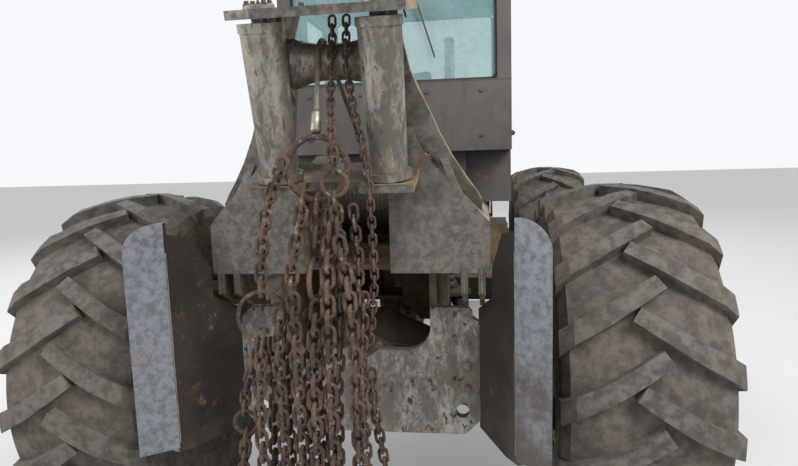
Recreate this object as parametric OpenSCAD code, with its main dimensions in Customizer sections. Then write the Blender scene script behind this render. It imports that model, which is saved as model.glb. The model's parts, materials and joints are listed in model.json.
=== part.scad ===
// Articulated cable skidder: four lugged tyres, a fairlead arch with a winch
// and choker chains at the back, a cab in the middle and a blade in front.
// Millimetres. X is to the machine's right, Y is forward, Z is up.
// The origin lies on the ground, under the middle of the machine's box.

/* [Wheels and axles] */
// Tyre diameter over the lugs
tyre_d = 1605; // [1500:5:1700]
// Tyre width over the side walls
tyre_w = 602; // [560:2:640]
// Diameter of the rim's seat
rim_d = 660; // [620:5:700]
// Width over the rim's flanges
rim_w = 508; // [460:4:540]
// Lugs on each half of a tyre
lug_count = 19; // [15:1:23]
// Width of a lug at the middle of the tread
lug_w = 62; // [50:1:75]
// Height of a lug at the middle of the tread
lug_h = 46; // [35:1:55]
// Distance between the axles
wheelbase = 2850; // [2700:10:3100]
// Distance between the tyres' middles
track = 2160; // [2080:10:2300]
// Diameter of an axle tube
axle_d = 260; // [220:5:280]
// Diameter of an axle's middle housing
banjo_d = 470; // [420:10:500]
// Diameter of the shaft end that a wheel turns on
spindle_d = 180; // [140:5:200]
// Wheel disc, measured outward from the tyre's middle
disc_x = 60; // [30:5:100]

/* [Rear frame and arch] */
// Reach of the log guards behind the rear axle
guard_reach = 812; // [780:4:900]
// Half width over the rear frame's rails
rail_x = 330; // [300:5:350]
// Thickness of a rail
rail_t = 30; // [20:2:40]
// Height of the rear rails' top
deck_z = 1290; // [1250:5:1350]
// Underside of the rear rails at the axle
rail_low = 940; // [935:5:980]
// Half width of the stern plate
stern_x = 500; // [460:5:540]
// Top of the stern plate
stern_top = 1140; // [1100:10:1200]
// Lower edge of the stern plate
stern_low = 600; // [560:10:660]
// Half width of the arch's rear plate
arch_x = 547; // [520:1:580]
// Rear face of the arch plate, behind the rear axle
arch_back = 512; // [490:2:530]
// Thickness of the arch's plates
arch_t = 25; // [16:1:30]
// Height at which the arch's sides start to lean inward
arch_knee = 1600; // [1580:10:1640]
// Half width of the arch at its knee
knee_x = 450; // [430:5:480]
// Inward lean of the arch's upper sides
arch_lean = 21.8; // [18:0.2:24]

/* [Fairlead] */
// Distance between the upright rollers
roller_gap = 396; // [370:2:420]
// Length of an upright roller
roller_l = 512; // [480:2:540]
// Diameter of an upright roller at its top
roller_d = 148; // [130:2:160]
// Rearward lean of the upright rollers
roller_lean = 13.2; // [8:0.2:16]
// Diameter of the cross roller at its ends
spool_d = 176; // [160:2:190]
// Length of the cross roller
spool_l = 296; // [270:2:310]
// Diameter of the rollers' pins
pin_d = 60; // [40:2:70]

/* [Winch] */
// Diameter of the winch drum's barrel
drum_d = 230; // [200:5:280]
// Diameter of the drum's flanges
flange_d = 400; // [360:5:430]
// Length of the drum over its flanges
drum_l = 320; // [280:5:340]
// Diameter of the main line
rope_d = 19; // [16:1:25]

/* [Pivot and steering] */
// Diameter of the frame's hinge pins
hinge_d = 90; // [70:2:110]
// Height of the upper hinge plate's middle
hinge_top = 1190; // [1150:5:1220]
// Height of the lower hinge plate's middle
hinge_low = 660; // [620:5:700]
// Half width of the rear frame's neck
neck_x = 110; // [95:5:120]
// Bore side of a steering cylinder's barrel
steer_barrel_d = 96; // [80:2:110]
// Diameter of a steering cylinder's rod
steer_rod_d = 50; // [40:2:60]
// Height of the steering cylinders
steer_z = 900; // [880:5:930]

/* [Cab] */
// Half width of the cab
cab_x = 695; // [660:5:720]
// Rear face of the cab, ahead of the rear axle
cab_back = 900; // [880:5:940]
// Length of the cab
cab_l = 1200; // [1150:10:1300]
// Top of the cab's floor
floor_z = 1480; // [1460:5:1520]
// Underside of the cab's rear overhang
bustle_z = 1770; // [1740:5:1800]
// Lower edge of the rear window
sill_z = 2180; // [2140:5:2220]
// Underside of the roof
roof_z = 2850; // [2800:10:2900]
// Width of a cab post
post_w = 80; // [60:5:90]
// Thickness of a cab wall
wall_t = 40; // [30:5:50]
// Thickness of the window glass
glass_t = 8; // [6:1:12]

/* [Front frame and hood] */
// Top of the front rails
front_deck = 1250; // [1220:5:1280]
// Underside of the front rails
front_low = 1010; // [990:5:1040]
// Half width of the hood
hood_x = 450; // [420:5:480]
// Top of the hood at the cab
hood_top = 1930; // [1880:10:1960]
// Thickness of the hood's sheet
sheet_t = 8; // [5:1:12]
// Front face of the grille, ahead of the front axle
nose_y = 930; // [900:5:960]

/* [Blade] */
// Reach of the blade ahead of the front axle
blade_reach = 1500; // [1450:10:1600]
// Width of the blade
blade_w = 2320; // [2200:20:2500]
// Height of the blade
blade_h = 850; // [800:10:900]
// Thickness of the blade's plate
blade_t = 22; // [16:1:30]
// Gap between the blade's edge and the ground
blade_gap = 20; // [5:5:60]
// Middle of each blade arm from the machine's middle
arm_x = 540; // [520:5:560]
// Thickness of a blade arm
arm_t = 60; // [50:5:80]

/* [Chains] */
// Wire diameter of the choker chains
wire_d = 12; // [9:1:16]
// Inside length of a chain link
link_in = 44; // [36:2:60]
// Inside width of a chain link
link_gap = 18; // [15:1:24]

/* [Fits] */
// Radial clearance of a pin in its bore
run_fit = 0.05; // [0.01:0.01:0.1]
// Gap between pieces that move past each other
move_gap = 8; // [6:1:12]
// Gap between seated pieces of one body
seat_gap = 0.3; // [0.2:0.1:0.5]

/* [Hidden] */
$fn = 48;
tyre_r = tyre_d/2;
half_w = tyre_w/2;
rim_r = rim_d/2;
axle_z = tyre_r;
rear_axle_y = (guard_reach - wheelbase - blade_reach)/2;
front_axle_y = rear_axle_y + wheelbase;
pivot_y = rear_axle_y + wheelbase/2;
cab_y = rear_axle_y + cab_back;
cab_end = cab_y + cab_l;

// Shared helpers.

module both() {
  children();
  mirror([1, 0, 0]) children();
}

module side(s) {
  if (s > 0) children();
  else mirror([1, 0, 0]) children();
}

module at_rear() translate([0, rear_axle_y, 0]) children();
module at_front() translate([0, front_axle_y, 0]) children();
module at_pivot() translate([0, pivot_y, 0]) children();

// A plate across X: its outline is drawn as [y, z].
module plate_x(x, t) translate([x, 0, 0]) rotate([90, 0, 90])
  linear_extrude(t) children();

// A plate across Y: its outline is drawn as [x, z].
module plate_y(y, t) translate([0, y + t, 0]) rotate([90, 0, 0])
  linear_extrude(t) children();

// A plate across Z: its outline is drawn as [x, y].
module plate_z(z, t) translate([0, 0, z]) linear_extrude(t) children();

// A box from its low corner to its high corner.
module box(a, b) translate(a) cube(b - a);

// A revolve about X: its section is drawn as [radius, x].
module spin_x(n = 72) rotate([0, 90, 0]) rotate_extrude($fn = n) children();

// Cylinders along X and Y, from a low end.
module rod_x(d, l, x = 0) translate([x, 0, 0]) rotate([0, 90, 0])
  cylinder(d = d, h = l);
module rod_y(d, l, y = 0) translate([0, y, 0]) rotate([-90, 0, 0])
  cylinder(d = d, h = l);

// A bar with round ends between two points of a plane.
module bar_2d(a, b, w) {
  dir = b - a;
  turn = atan2(dir[1], dir[0]);
  translate(a) circle(d = w);
  translate(b) circle(d = w);
  translate(a) rotate(turn) translate([0, -w/2]) square([norm(dir), w]);
}

// Wheels.

// Middle line of a lug: columns are x across the tread, s down the tread
// from the lug's tip, and half the lug's width there.
lug_line = [
  [-46, 0, lug_w/2 - 2],
  [40, 58, lug_w/2],
  [150, 128, lug_w/2 + 2],
  [half_w + 14, 208, lug_w/2 + 7]];
lug_last = len(lug_line) - 1;
lug_rise = 106;
lug_tip = 68;
lug_pitch = 360/lug_count;

function lug_dir(i) = let (
  a = lug_line[max(i - 1, 0)],
  b = lug_line[min(i + 1, lug_last)],
  d = [b[0] - a[0], b[1] - a[1]]) d/norm(d);
function lug_edge(i, k) = let (p = lug_line[i], t = lug_dir(i))
  [p[0] - k*t[1]*p[2], lug_rise - p[1] - k*t[0]*p[2]];

module lug(tip) {
  base_r = tyre_r - 200;
  turn = 90 - tip + asin(lug_rise/tyre_r);
  outline = concat(
    [for (i = [0:lug_last]) lug_edge(i, 1)],
    [for (i = [lug_last:-1:0]) lug_edge(i, -1)]);
  rotate([turn, 0, 0]) translate([0, 0, base_r])
    linear_extrude(tyre_r - base_r + 40) polygon(outline);
}

// Right half of the tyre's section: columns are radius and x.
carcass_half = [
  [rim_r + seat_gap, rim_w/2 - 13], [rim_r + 40, rim_w/2 - 13],
  [rim_r + 52, rim_w/2 + 6], [rim_r + 130, half_w - 22],
  [rim_r + 225, half_w - 3], [rim_r + 300, half_w - 1],
  [tyre_r - 118, half_w - 10], [tyre_r - 78, half_w - 36],
  [tyre_r - lug_h - 12, half_w - 120], [tyre_r - lug_h, 40]];
tread_half = [
  [rim_r, half_w], [tyre_r - 68, half_w], [tyre_r - 34, half_w - 50],
  [tyre_r - 8, half_w - 170], [tyre_r, 60]];

function mirrored(half) = concat(half,
  [for (i = [len(half) - 1:-1:0]) [half[i][0], -half[i][1]]]);

module tyre() color([0.24, 0.22, 0.2]) intersection() {
  union() {
    spin_x(144) polygon(mirrored(carcass_half));
    for (k = [0:lug_count - 1]) {
      lug(lug_tip - k*lug_pitch);
      mirror([1, 0, 0]) lug(lug_tip + 8.5 - k*lug_pitch);
    }
  }
  spin_x(144) polygon(mirrored(tread_half));
}

hub_l = 130;
bore_l = 100;

// Rim, disc and planetary hub; +X is outboard.
module rim() color([0.55, 0.5, 0.36]) {
  flange_t = 12;
  band_t = 14;
  well = [rim_r - 34, 80];
  difference() {
    spin_x() polygon([
      [rim_r + 34, rim_w/2], [rim_r + 34, rim_w/2 - flange_t],
      [rim_r, rim_w/2 - flange_t], [rim_r, well[1] + 50], [well[0] + band_t, well[1]],
      [well[0] + band_t, -well[1]], [rim_r, -well[1] - 50],
      [rim_r, flange_t - rim_w/2], [rim_r + 34, flange_t - rim_w/2],
      [rim_r + 34, -rim_w/2], [rim_r - band_t, -rim_w/2],
      [rim_r - band_t, -well[1] - 50], [well[0], -well[1]], [well[0], disc_x - 24],
      [well[0] - 40, disc_x], [0, disc_x], [0, disc_x + hub_l + 40],
      [112, disc_x + hub_l + 40], [120, disc_x + hub_l + 16],
      [176, disc_x + hub_l], [186, disc_x + 50], [228, disc_x + 50],
      [228, disc_x + 24], [well[0] - 36, disc_x + 24], [well[0], disc_x + 2],
      [well[0], well[1]], [rim_r - band_t, well[1] + 50], [rim_r - band_t, rim_w/2]]);
    rod_x(spindle_d + 2*run_fit, bore_l + 1, disc_x - 1);
  }
}

module wheel_at(s, y) translate([0, y, axle_z]) side(s)
  translate([track/2, 0, 0]) children();

// One axle in the axle's own frame, with its middle at the origin.
module axle_body(dir) {
  drum_x = track/2 + disc_x - move_gap;
  tip = track/2 + disc_x + bore_l - 2;
  tube = axle_d/2;
  half = [
    [banjo_d/2, 0], [banjo_d/2, 90], [banjo_d/2 - 45, 150], [tube + 30, 230],
    [tube, 300], [tube, drum_x - 320], [tube + 42, drum_x - 290],
    [tube + 42, drum_x - 240], [tube + 62, drum_x - 236], [tube + 62, drum_x - 40],
    [tube + 30, drum_x], [spindle_d/2, drum_x], [spindle_d/2, tip], [0, tip]];
  both() spin_x() polygon(concat([[0, 0]], half));
  // pinion nose with its flange, toward the middle of the machine
  scale_y = dir;
  mirror([0, scale_y > 0 ? 0 : 1, 0]) {
    rod_y(200, banjo_d/2 + 60, 0);
    rod_y(120, banjo_d/2 + 150, 0);
    rod_y(150, 22, banjo_d/2 + 128);
  }
}

module rear_axle() color([0.32, 0.3, 0.25]) at_rear() {
  translate([0, 0, axle_z]) axle_body(1);
  // saddles between the tube and the rails
  both() difference() {
    box([rail_x - rail_t - 20, -140, axle_z], [rail_x + 20, 140, rail_low]);
    translate([0, 0, axle_z]) rod_x(axle_d - 2, 2*rail_x);
  }
}

trunnion_d = 220;
trunnion_y = 300;
trunnion_t = 40;

module front_axle() color([0.32, 0.3, 0.25])
  translate([0, front_axle_y, axle_z]) difference() {
    union() {
      axle_body(-1);
      rod_y(trunnion_d, 2*(trunnion_y + trunnion_t), -trunnion_y - trunnion_t);
    }
  }

// Rear frame.

neck_back = 640;
neck_end = 135;
neck_low = hinge_low - 40;
neck_top = hinge_top + 50;
tongue_t = 40;
flare_y = wheelbase/2 - neck_back;
rail_end = flare_y - 100;
steer_a = [rail_x + 62, -750];
steer_b = [220, 50];

module hinge_plate(z, t, r) plate_z(z - t/2, t) difference() {
  union() {
    circle(r = r);
    translate([-r, -neck_end - 60]) square([2*r, neck_end + 60]);
  }
  circle(d = hinge_d + 2*run_fit);
}

module rear_frame() color([0.5, 0.42, 0.2]) {
  at_rear() {
    // rails, dropped behind the axle to carry the stern plate
    both() plate_x(rail_x - rail_t, rail_t) polygon([
      [-arch_back + 180, stern_low], [-150, stern_low], [-150, rail_low],
      [rail_end, rail_low], [rail_end, deck_z], [-arch_back + 180, deck_z]]);
    // top deck between and beside the rails
    plate_z(deck_z, 20) polygon([
      [-arch_x, -arch_back + 180], [arch_x, -arch_back + 180], [arch_x, 260],
      [rail_x, 520], [rail_x, rail_end], [-rail_x, rail_end], [-rail_x, 520],
      [-arch_x, 260]]);
    // cross members
    plate_y(170, 24) difference() {
      translate([-rail_x, rail_low]) square([2*rail_x, deck_z - rail_low]);
      translate([-120, rail_low + 70]) square([240, 180]);
      translate([0, axle_z]) circle(d = banjo_d + 24);
    }
    // flare from the rails to the neck
    for (z = [rail_low, deck_z - 60]) plate_z(z, 24) polygon([
      [-rail_x, rail_end - 120], [rail_x, rail_end - 120], [rail_x, rail_end],
      [neck_x, flare_y], [-neck_x, flare_y], [-rail_x, rail_end]]);
    both() difference() {
      plate_z(rail_low, deck_z - rail_low) polygon([
        [rail_x - rail_t, rail_end], [rail_x, rail_end], [neck_x, flare_y],
        [neck_x - rail_t, flare_y]]);
    }
  }
  at_pivot() {
    // neck cheeks and the two hinge tongues
    both() plate_x(neck_x - rail_t, rail_t) polygon([
      [-neck_back, rail_low], [-neck_back + 60, neck_low], [-neck_end, neck_low],
      [-neck_end, neck_top], [-neck_back, neck_top]]);
    for (z = [hinge_low, hinge_top]) hinge_plate(z, tongue_t, neck_x);
    // ears for the steering cylinders' tails, on a bracket under each rail
    both() plate_x(rail_x - rail_t, rail_t) translate([steer_a[1] - 150, steer_z - 90])
      square([180, rail_low - steer_z + 91]);
    both() for (z = [-1, 1]) plate_z(steer_z + z*(steer_barrel_d/2 + 16) - 10, 20)
      difference() {
        union() {
          translate(steer_a) circle(d = 110);
          translate([rail_x - 5, steer_a[1] - 90]) square([steer_a[0] - rail_x + 5, 100]);
        }
        translate(steer_a) circle(d = 40 + 2*run_fit);
      }
  }
}

notch_x = 304;
notch_r = 100;

// Tie-down holes in the stern plate's lower corners.
tie_at = [430, 700];
tie_d = 56;

module stern_plate() color([0.45, 0.42, 0.38]) at_rear()
  plate_y(-arch_back + 140, 40 - seat_gap) difference() {
    polygon([
      [-stern_x, stern_low + 60], [-stern_x + 60, stern_low],
      [stern_x - 60, stern_low], [stern_x, stern_low + 60],
      [stern_x, stern_top - 60], [stern_x - 25, stern_top - 40],
      [stern_x - 25, stern_top - 20], [stern_x - 45, stern_top],
      [45 - stern_x, stern_top], [-stern_x, stern_top - 45]]);
    union() {
      translate([-notch_x, stern_top - 80]) square([2*notch_x, 100]);
      translate([-notch_x + notch_r, stern_top - 180])
        square([2*(notch_x - notch_r), 200]);
      for (s = [-1, 1]) {
        translate([s*(notch_x - notch_r), stern_top - 80]) circle(r = notch_r);
        translate([s*tie_at[0], tie_at[1]]) circle(d = tie_d);
      }
    }
  }

guard_t = 26;
guard_low = 680;
guard_top = 1540;
guard_r = 100;

module log_guards() color([0.5, 0.48, 0.45]) at_rear() both() {
  // inner wall, from the stern plate's edge back to the rear face
  front = [stern_x + seat_gap, -arch_back + 142];
  foot = [634, -guard_reach + 95];
  intersection() {
    plate_z(stern_low, 1000) polygon([
      front, [front[0] + guard_t, front[1] + 40], [530 + guard_t, -310],
      [foot[0] + guard_t, foot[1]], [foot[0], foot[1] - 8]]);
    plate_x(stern_x - 50, 300) polygon([
      [-250, stern_low + 30], [-250, stern_top - 2], [-arch_back + 140, stern_top - 2],
      [-arch_back - seat_gap, stern_top + 78], [-arch_back - seat_gap, 1330],
      [-600, 1470], [-guard_reach, guard_top - 20], [-guard_reach, guard_low],
      [-620, guard_low - 40]]);
  }
  // rear face, swept back toward its outer edge, with a round top
  intersection() {
    plate_z(stern_low, 1000) polygon([
      [foot[0] - 8, foot[1] - 14], [foot[0] - 6, foot[1] + 14],
      [735, -guard_reach + guard_t + 4], [742, -guard_reach]]);
    plate_y(-guard_reach - 1, 200) union() {
      translate([600, guard_low]) square([142, guard_top - guard_low - guard_r]);
      translate([600, guard_top - guard_r - 1]) square([42, guard_r + 1]);
      translate([642, guard_top - guard_r]) circle(r = guard_r);
    }
  }
}

// Fairlead arch and its rollers.

shelf_z = 1700;
shelf_y = -650;

// The frame of the upright rollers: its origin is at their feet.
module fairlead() at_rear() translate([0, shelf_y, shelf_z])
  rotate([roller_lean, 0, 0]) children();

crown_z = roller_l + 22;
crown_front = 300;

// Height over the ground of a point of the fairlead's frame, and its place
// behind the rear axle.
function fair_y(y, z) = shelf_y + y*cos(roller_lean) - z*sin(roller_lean);
function fair_z(y, z) = shelf_z + y*sin(roller_lean) + z*cos(roller_lean);

// A slot from a to b, its sides a little inside its round ends.
module slot(a, b, w) {
  d = b - a;
  for (p = [a, b]) translate(p) circle(d = w);
  translate(a) rotate(atan2(d[1], d[0])) translate([0, 0.4 - w/2]) square([norm(d), w - 0.8]);
}

// Side wall: a plate bent inward below the knee and cut to its outline.
module arch_side() {
  top = fair_z(crown_front, crown_z) + 8;
  skin = arch_t/cos(arch_lean);
  bend = knee_x - (top - arch_knee)*tan(arch_lean);
  intersection() {
    plate_y(-1000, 1400) polygon([
      [arch_x - arch_t, deck_z + 20], [arch_x, deck_z + 20], [arch_x, arch_knee - 95],
      [knee_x, arch_knee], [bend, top], [bend - skin, top], [knee_x - skin, arch_knee - 8],
      [arch_x - arch_t, arch_knee - 106]]);
    plate_x(0, arch_x + 10) polygon([
      [-arch_back, deck_z], [250, deck_z], [190, 1420], [60, 1560], [-40, 1650],
      [-150, 1750], [-270, 1880], [-370, 2010], [-440, 2140],
      [fair_y(crown_front, crown_z), fair_z(crown_front, crown_z) + 8],
      [fair_y(wing_y, crown_z), fair_z(wing_y, crown_z) + 8],
      [fair_y(wing_y, 0), fair_z(wing_y, 0)], [-arch_back, arch_knee - 40]]);
  }
}

// The leaning back plate beside each roller: its outer edge runs in a
// sweep from the crown to the side wall, with a slot near its foot.
wing_y = 195;
module arch_wing() translate([0, wing_y, 0]) plate_y(0, arch_t) difference() {
  polygon([
    [spool_l/2 + move_gap + 4, crown_z + 4], [232, crown_z + 4], [242, 460], [268, 328],
    [296, 250], [331, 181], [366, 94], [411, 4], [462, -80], [500, -134], [520, -170],
    [520, -250], [330, -250], [225, -60], [190, 120], [spool_l/2 + move_gap + 4, 300]]);
  slot([308, 12], [398, -88], 30);
}

module fairlead_arch() color([0.5, 0.42, 0.2]) {
  at_rear() {
    both() arch_side();
    // rear plate: two legs that meet above the throat
    plate_y(-arch_back, arch_t) difference() {
      polygon([
        [-arch_x, 1310], [-arch_x, 1470], [-arch_x + 14, 1520], [-arch_x + 62, 1574],
        [-405, 1655], [-352, 1706], [-305, 1765], [-262, 1862], [-226, 1862],
        [-210, 1735], [210, 1735], [226, 1862], [262, 1862], [305, 1765], [352, 1706],
        [405, 1655], [arch_x - 62, 1574], [arch_x - 14, 1520],
        [arch_x, 1470], [arch_x, 1310]]);
      translate([-170, 1300]) square([340, 330]);
      translate([0, 1630]) circle(r = 40);
    }
    // twin legs down to the stern plate
    both() for (x = [440, 506]) plate_x(x, 20) polygon([
      [-arch_back, 1330], [-arch_back, 1230], [-arch_back + 140, 1150],
      [-arch_back + 180 - seat_gap, 1150], [-arch_back + 180 - seat_gap, deck_z + 20],
      [-arch_back + 110, 1340]]);
    both() plate_x(rail_x - rail_t, rail_t) polygon([
      [-arch_back + 24, 1310], [-arch_back + 180, 1310], [-arch_back + 24, 1600]]);
  }
  fairlead() {
    // lower shelf
    difference() {
      box([-290, -80, -52], [290, 155, -22]);
      both() translate([roller_gap/2, 0, -60]) cylinder(d = pin_d + 2*run_fit, h = 60);
      box([-100, -90, -60], [100, -30, 0]);
    }
    both() arch_wing();
    // crown
    difference() {
      plate_z(crown_z, 30) polygon([
        [-296, -60], [-200, -95], [200, -95], [296, -60], [296, crown_front],
        [-296, crown_front]]);
      both() translate([roller_gap/2, 0, roller_l]) cylinder(d = pin_d + 2*run_fit, h = 80);
    }
    // cheeks of the cross roller, hung from the crown
    both() difference() {
      plate_x(spool_l/2 + move_gap, 18) polygon([
        [wing_y + 5, roller_l + 23], [wing_y + 5, 300], [150, 240], [88, 300],
        [94, roller_l + 23]]);
      translate([0, spool_at[0], spool_at[1]]) rod_x(pin_d + 2*run_fit, 400);
    }
  }
}

spool_at = [145, 372];

module upright_roller() color([0.45, 0.43, 0.4]) {
  translate([0, 0, 8]) cylinder(d1 = roller_d - 14, d2 = roller_d, h = roller_l - 30);
  translate([0, 0, -16]) cylinder(d = roller_d + 14, h = 24);
  translate([0, 0, roller_l - 22]) cylinder(d = roller_d + 10, h = 30);
  translate([0, 0, -54]) cylinder(d = pin_d, h = roller_l + 110);
}

module roller_right() fairlead() translate([roller_gap/2, 0, 0]) upright_roller();
module roller_left() fairlead() translate([-roller_gap/2, 0, 0]) upright_roller();

module cross_roller() color([0.45, 0.43, 0.4]) fairlead()
  translate([0, spool_at[0], spool_at[1]]) {
    e = spool_d/2;
    spin_x() polygon([
      [0, -spool_l/2], [e, -spool_l/2], [e, 16 - spool_l/2], [e - 14, 50 - spool_l/2],
      [e - 24, -46], [e - 24, 46], [e - 14, spool_l/2 - 50], [e, spool_l/2 - 16],
      [e, spool_l/2], [0, spool_l/2]]);
    rod_x(pin_d, spool_l + 60, -spool_l/2 - 30);
  }

// Winch.

drum_at = [110, 1570];

coil_h = 36;

module winch_case() color([0.45, 0.38, 0.2]) at_rear() difference() {
  union() {
    box([-270, -140, deck_z + 20 + seat_gap], [270, 400, deck_z + 60]);
    both() plate_x(drum_l/2 + move_gap, 95) union() {
      translate(drum_at) circle(r = 195);
      polygon([
        [drum_at[0] - 195, drum_at[1]], [drum_at[0] + 195, drum_at[1]],
        [400, deck_z + 60], [-140, deck_z + 60]]);
    }
    both() translate([0, drum_at[0], drum_at[1]])
      rod_x(250, 40, drum_l/2 + move_gap + 94);
    // brake and clutch housing in front of the drum
    box([-260, 300, deck_z + 60], [260, 400, deck_z + 250]);
  }
  translate([0, drum_at[0], drum_at[1]])
    rod_x(80 + 2*run_fit, 2*(drum_l/2 + 60), -drum_l/2 - 60);
}

module winch_drum() color([0.35, 0.33, 0.3])
  translate([0, rear_axle_y + drum_at[0], drum_at[1]]) {
    b = drum_d/2;
    f = flange_d/2 - 20;
    l = drum_l/2;
    // barrel, flanges and five coils of rope across them
    spin_x() polygon([
      [0, -l], [f, -l], [f, 22 - l], [b + coil_h, 22 - l], [b + coil_h, l - 22],
      [f, l - 22], [f, l], [0, l]]);
    rod_x(80, 2*l + 116, -l - 58);
  }

// Main line and choker chains.

rope_x = -34;
line_gap = 2;
line_end = [-749, 1850.6];

module cable(l, d = rope_d) cylinder(d = d, h = l, $fn = 24);

// A short sleeve round the line, where a bend meets a straight.
module sleeve() translate([0, 0, -5]) cable(10, rope_d + 3);

// The line leaves the drum's top, bends over the cross roller and hangs.
module main_line() color([0.35, 0.3, 0.26]) {
  on_drum = drum_d/2 + coil_h + rope_d/2 + line_gap;
  on_spool = spool_d/2 - 24 + rope_d/2 + line_gap;
  spool = [fair_y(spool_at[0], spool_at[1]), fair_z(spool_at[0], spool_at[1])];
  run = spool - drum_at;
  // both ends of the straight part lie along one normal
  normal = atan2(run[1], run[0]) - acos((on_drum - on_spool)/norm(run));
  straight = sqrt(run*run - pow(on_drum - on_spool, 2));
  fall = line_end - spool;
  leave = 360 + atan2(fall[1], fall[0]) - acos(on_spool/norm(fall));
  at_rear() translate([rope_x, 0, 0]) {
    translate([0, drum_at[0] + on_drum*cos(normal), drum_at[1] + on_drum*sin(normal)])
      rotate([normal, 0, 0]) {
        cable(straight);
        translate([0, 0, straight]) sleeve();
      }
    translate([0, spool[0], spool[1]]) rotate([90, 0, 90]) rotate([0, 0, normal])
      rotate_extrude(angle = leave - normal, $fn = 96)
      translate([on_spool, 0]) circle(d = rope_d, $fn = 24);
    translate([0, spool[0] + on_spool*cos(leave), spool[1] + on_spool*sin(leave)])
      rotate([leave, 0, 0]) {
        sleeve();
        cable(sqrt(fall*fall - on_spool*on_spool));
        translate([0, 0, sqrt(fall*fall - on_spool*on_spool) - 70]) cable(80, 2*rope_d);
      }
  }
}

// One chain link in the XZ plane, as long as its inside plus two wires.
module link(inside, gap, wire) {
  straight = inside - gap;
  module stadium(w) {
    square([w, straight], center = true);
    for (k = [-1, 1]) translate([0, k*straight/2]) circle(d = w, $fn = 24);
  }
  rotate([90, 0, 0]) translate([0, 0, -wire/2]) linear_extrude(wire) difference() {
    stadium(gap + 2*wire);
    stadium(gap);
  }
}

// Rings: columns are x, y, z, outside diameter, wire and turn about Z.
rings = [
  [-34, -752, 1722, 236, 22, 0],
  [36, -800, 1672, 100, 15, 6],
  [-250, -772, 1205, 200, 15, 0],
  [-56, -756, 1335, 170, 18, 88],
  [-330, -790, 822, 98, 15, 5]];

// Strands of chain: each is a size, 1 where the first link stands along the
// machine, and a row of [x, y, z] points from the strand's top down, measured
// from the rear axle and the ground.
strands = [
  [0.75, 0, [[66, -650, 2235.9], [66, -664, 2172], [66, -689, 2096], [74, -699, 2020],
    [96, -728, 1910], [124, -750, 1800], [146, -760, 1680], [150, -760, 1500],
    [152, -756, 1337], [138, -756, 1200], [126, -756, 1110]]],
  [0.75, 0, [[16, -650, 2235.8], [16, -657, 2168], [16, -684, 2096], [16, -704, 2010],
    [18, -728, 1960], [24, -762, 1905], [30, -788, 1862], [32, -797, 1838], [32, -800, 1822.5]]],
  [1.1, 1, [[32, -800, 1823.9], [36, -800, 1708.3]]],
  [1.25, 0, [[-143.6, -772, 1752], [-172, -775, 1690], [-206, -782, 1610], [-230, -780, 1500],
    [-246, -773, 1380], [-250, -772, 1292.2]]],
  [1.1, 1, [[36, -800, 1635.7], [46, -802, 1480], [44, -804, 1320], [33, -804, 1120],
    [14, -804, 960], [8, -804, 560]]],
  [1.45, 1, [[-34, -752, 1623.9], [-56, -756, 1404.5]]],
  [1.1, 0, [[-56, -756, 1269.6], [-56.5, -756, 1190], [-64, -752, 1080], [-62, -752, 900],
    [-56, -752, 560]]],
  [1.1, 1, [[-275.3, -772, 1125], [-278.3, -772, 1092], [-290, -776, 1040], [-314, -786, 980],
    [-328, -790, 920], [-334.2, -790, 855.7]]],
  [1.1, 1, [[-330, -790, 787.4], [-350, -786, 671], [-372, -780, 480]]],
  [1.1, 1, [[-230, -772, 1121], [-227, -772, 1092], [-222, -768, 1040], [-224, -758, 980],
    [-230, -752, 900], [-238, -752, 847], [-252, -752, 520]]],
  [1, 0, [[-78, -785.8, 1230], [-90, -781.8, 1060], [-98, -781.8, 880], [-94, -781.8, 560]]],
  [1, 0, [[84, -750, 1590], [98, -750, 1400], [88, -750, 1180], [76, -750, 900],
    [70, -750, 600]]],
  [1, 0, [[118, -777.1, 1290], [104, -777.1, 1100], [100, -777.1, 900], [118, -806, 520]]],
  [1, 0, [[128.2, -752, 1010], [136.2, -752, 860], [168, -752, 640]]],
  [1, 0, [[-163.8, -752, 1150], [-179.8, -752, 1000], [-181.8, -752, 620]]]];

// A link's end arc narrows beside the next link's wire, so it sits shallower.
arc_loss = link_gap/2 - sqrt(pow(link_gap/2, 2) - pow(wire_d/2, 2));
pitch = link_in - 2*arc_loss - 2*seat_gap;

// Length of a row of points, and the point at length t along it.
function row_length(p, i = 0) = i > len(p) - 2 ? 0 :
  norm(p[i + 1] - p[i]) + row_length(p, i + 1);
function along(p, t, i = 0) = let (d = norm(p[i + 1] - p[i]))
  t > d && i < len(p) - 2 ? along(p, t - d, i + 1) : p[i] + (p[i + 1] - p[i])*t/d;

// Links down a row of points, each turned a quarter from the one before.
// Their size is fitted so that a whole number of links fills the row.
module chain(size, first, row) {
  total = row_length(row);
  count = max(1, round(total/(size*pitch)));
  fitted = total/(count*pitch);
  for (k = [0:count - 1]) {
    a = along(row, k*total/count);
    d = along(row, (k + 1)*total/count) - a;
    translate(a + d/2) rotate([atan2(-d[1], d[2]), 0, 0])
      rotate([0, asin(d[0]/norm(d)), 0]) rotate([0, 0, 90*((k + first) % 2)])
      link(fitted*link_in, fitted*link_gap, fitted*wire_d);
  }
}

module choker_chains() color([0.4, 0.25, 0.15]) at_rear() {
  for (s = strands) chain(s[0], s[1], s[2]);
  for (r = rings) translate([r[0], r[1], r[2]]) rotate([0, 0, r[5]]) rotate([90, 0, 0])
    rotate_extrude() translate([r[3]/2 - r[4]/2, 0]) circle(d = r[4], $fn = 24);
  // toggle bar at the foot of the right strand
  translate([118, -756, 1075]) rotate([0, 52, 0]) translate([0, 0, -60])
    cylinder(d = 26, h = 120, $fn = 24);
}

// Driveline.

shaft_d = 80;

module yoke_shaft(l) {
  rod_y(shaft_d, l, 0);
  rod_y(130, 18, 0);
}

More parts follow.
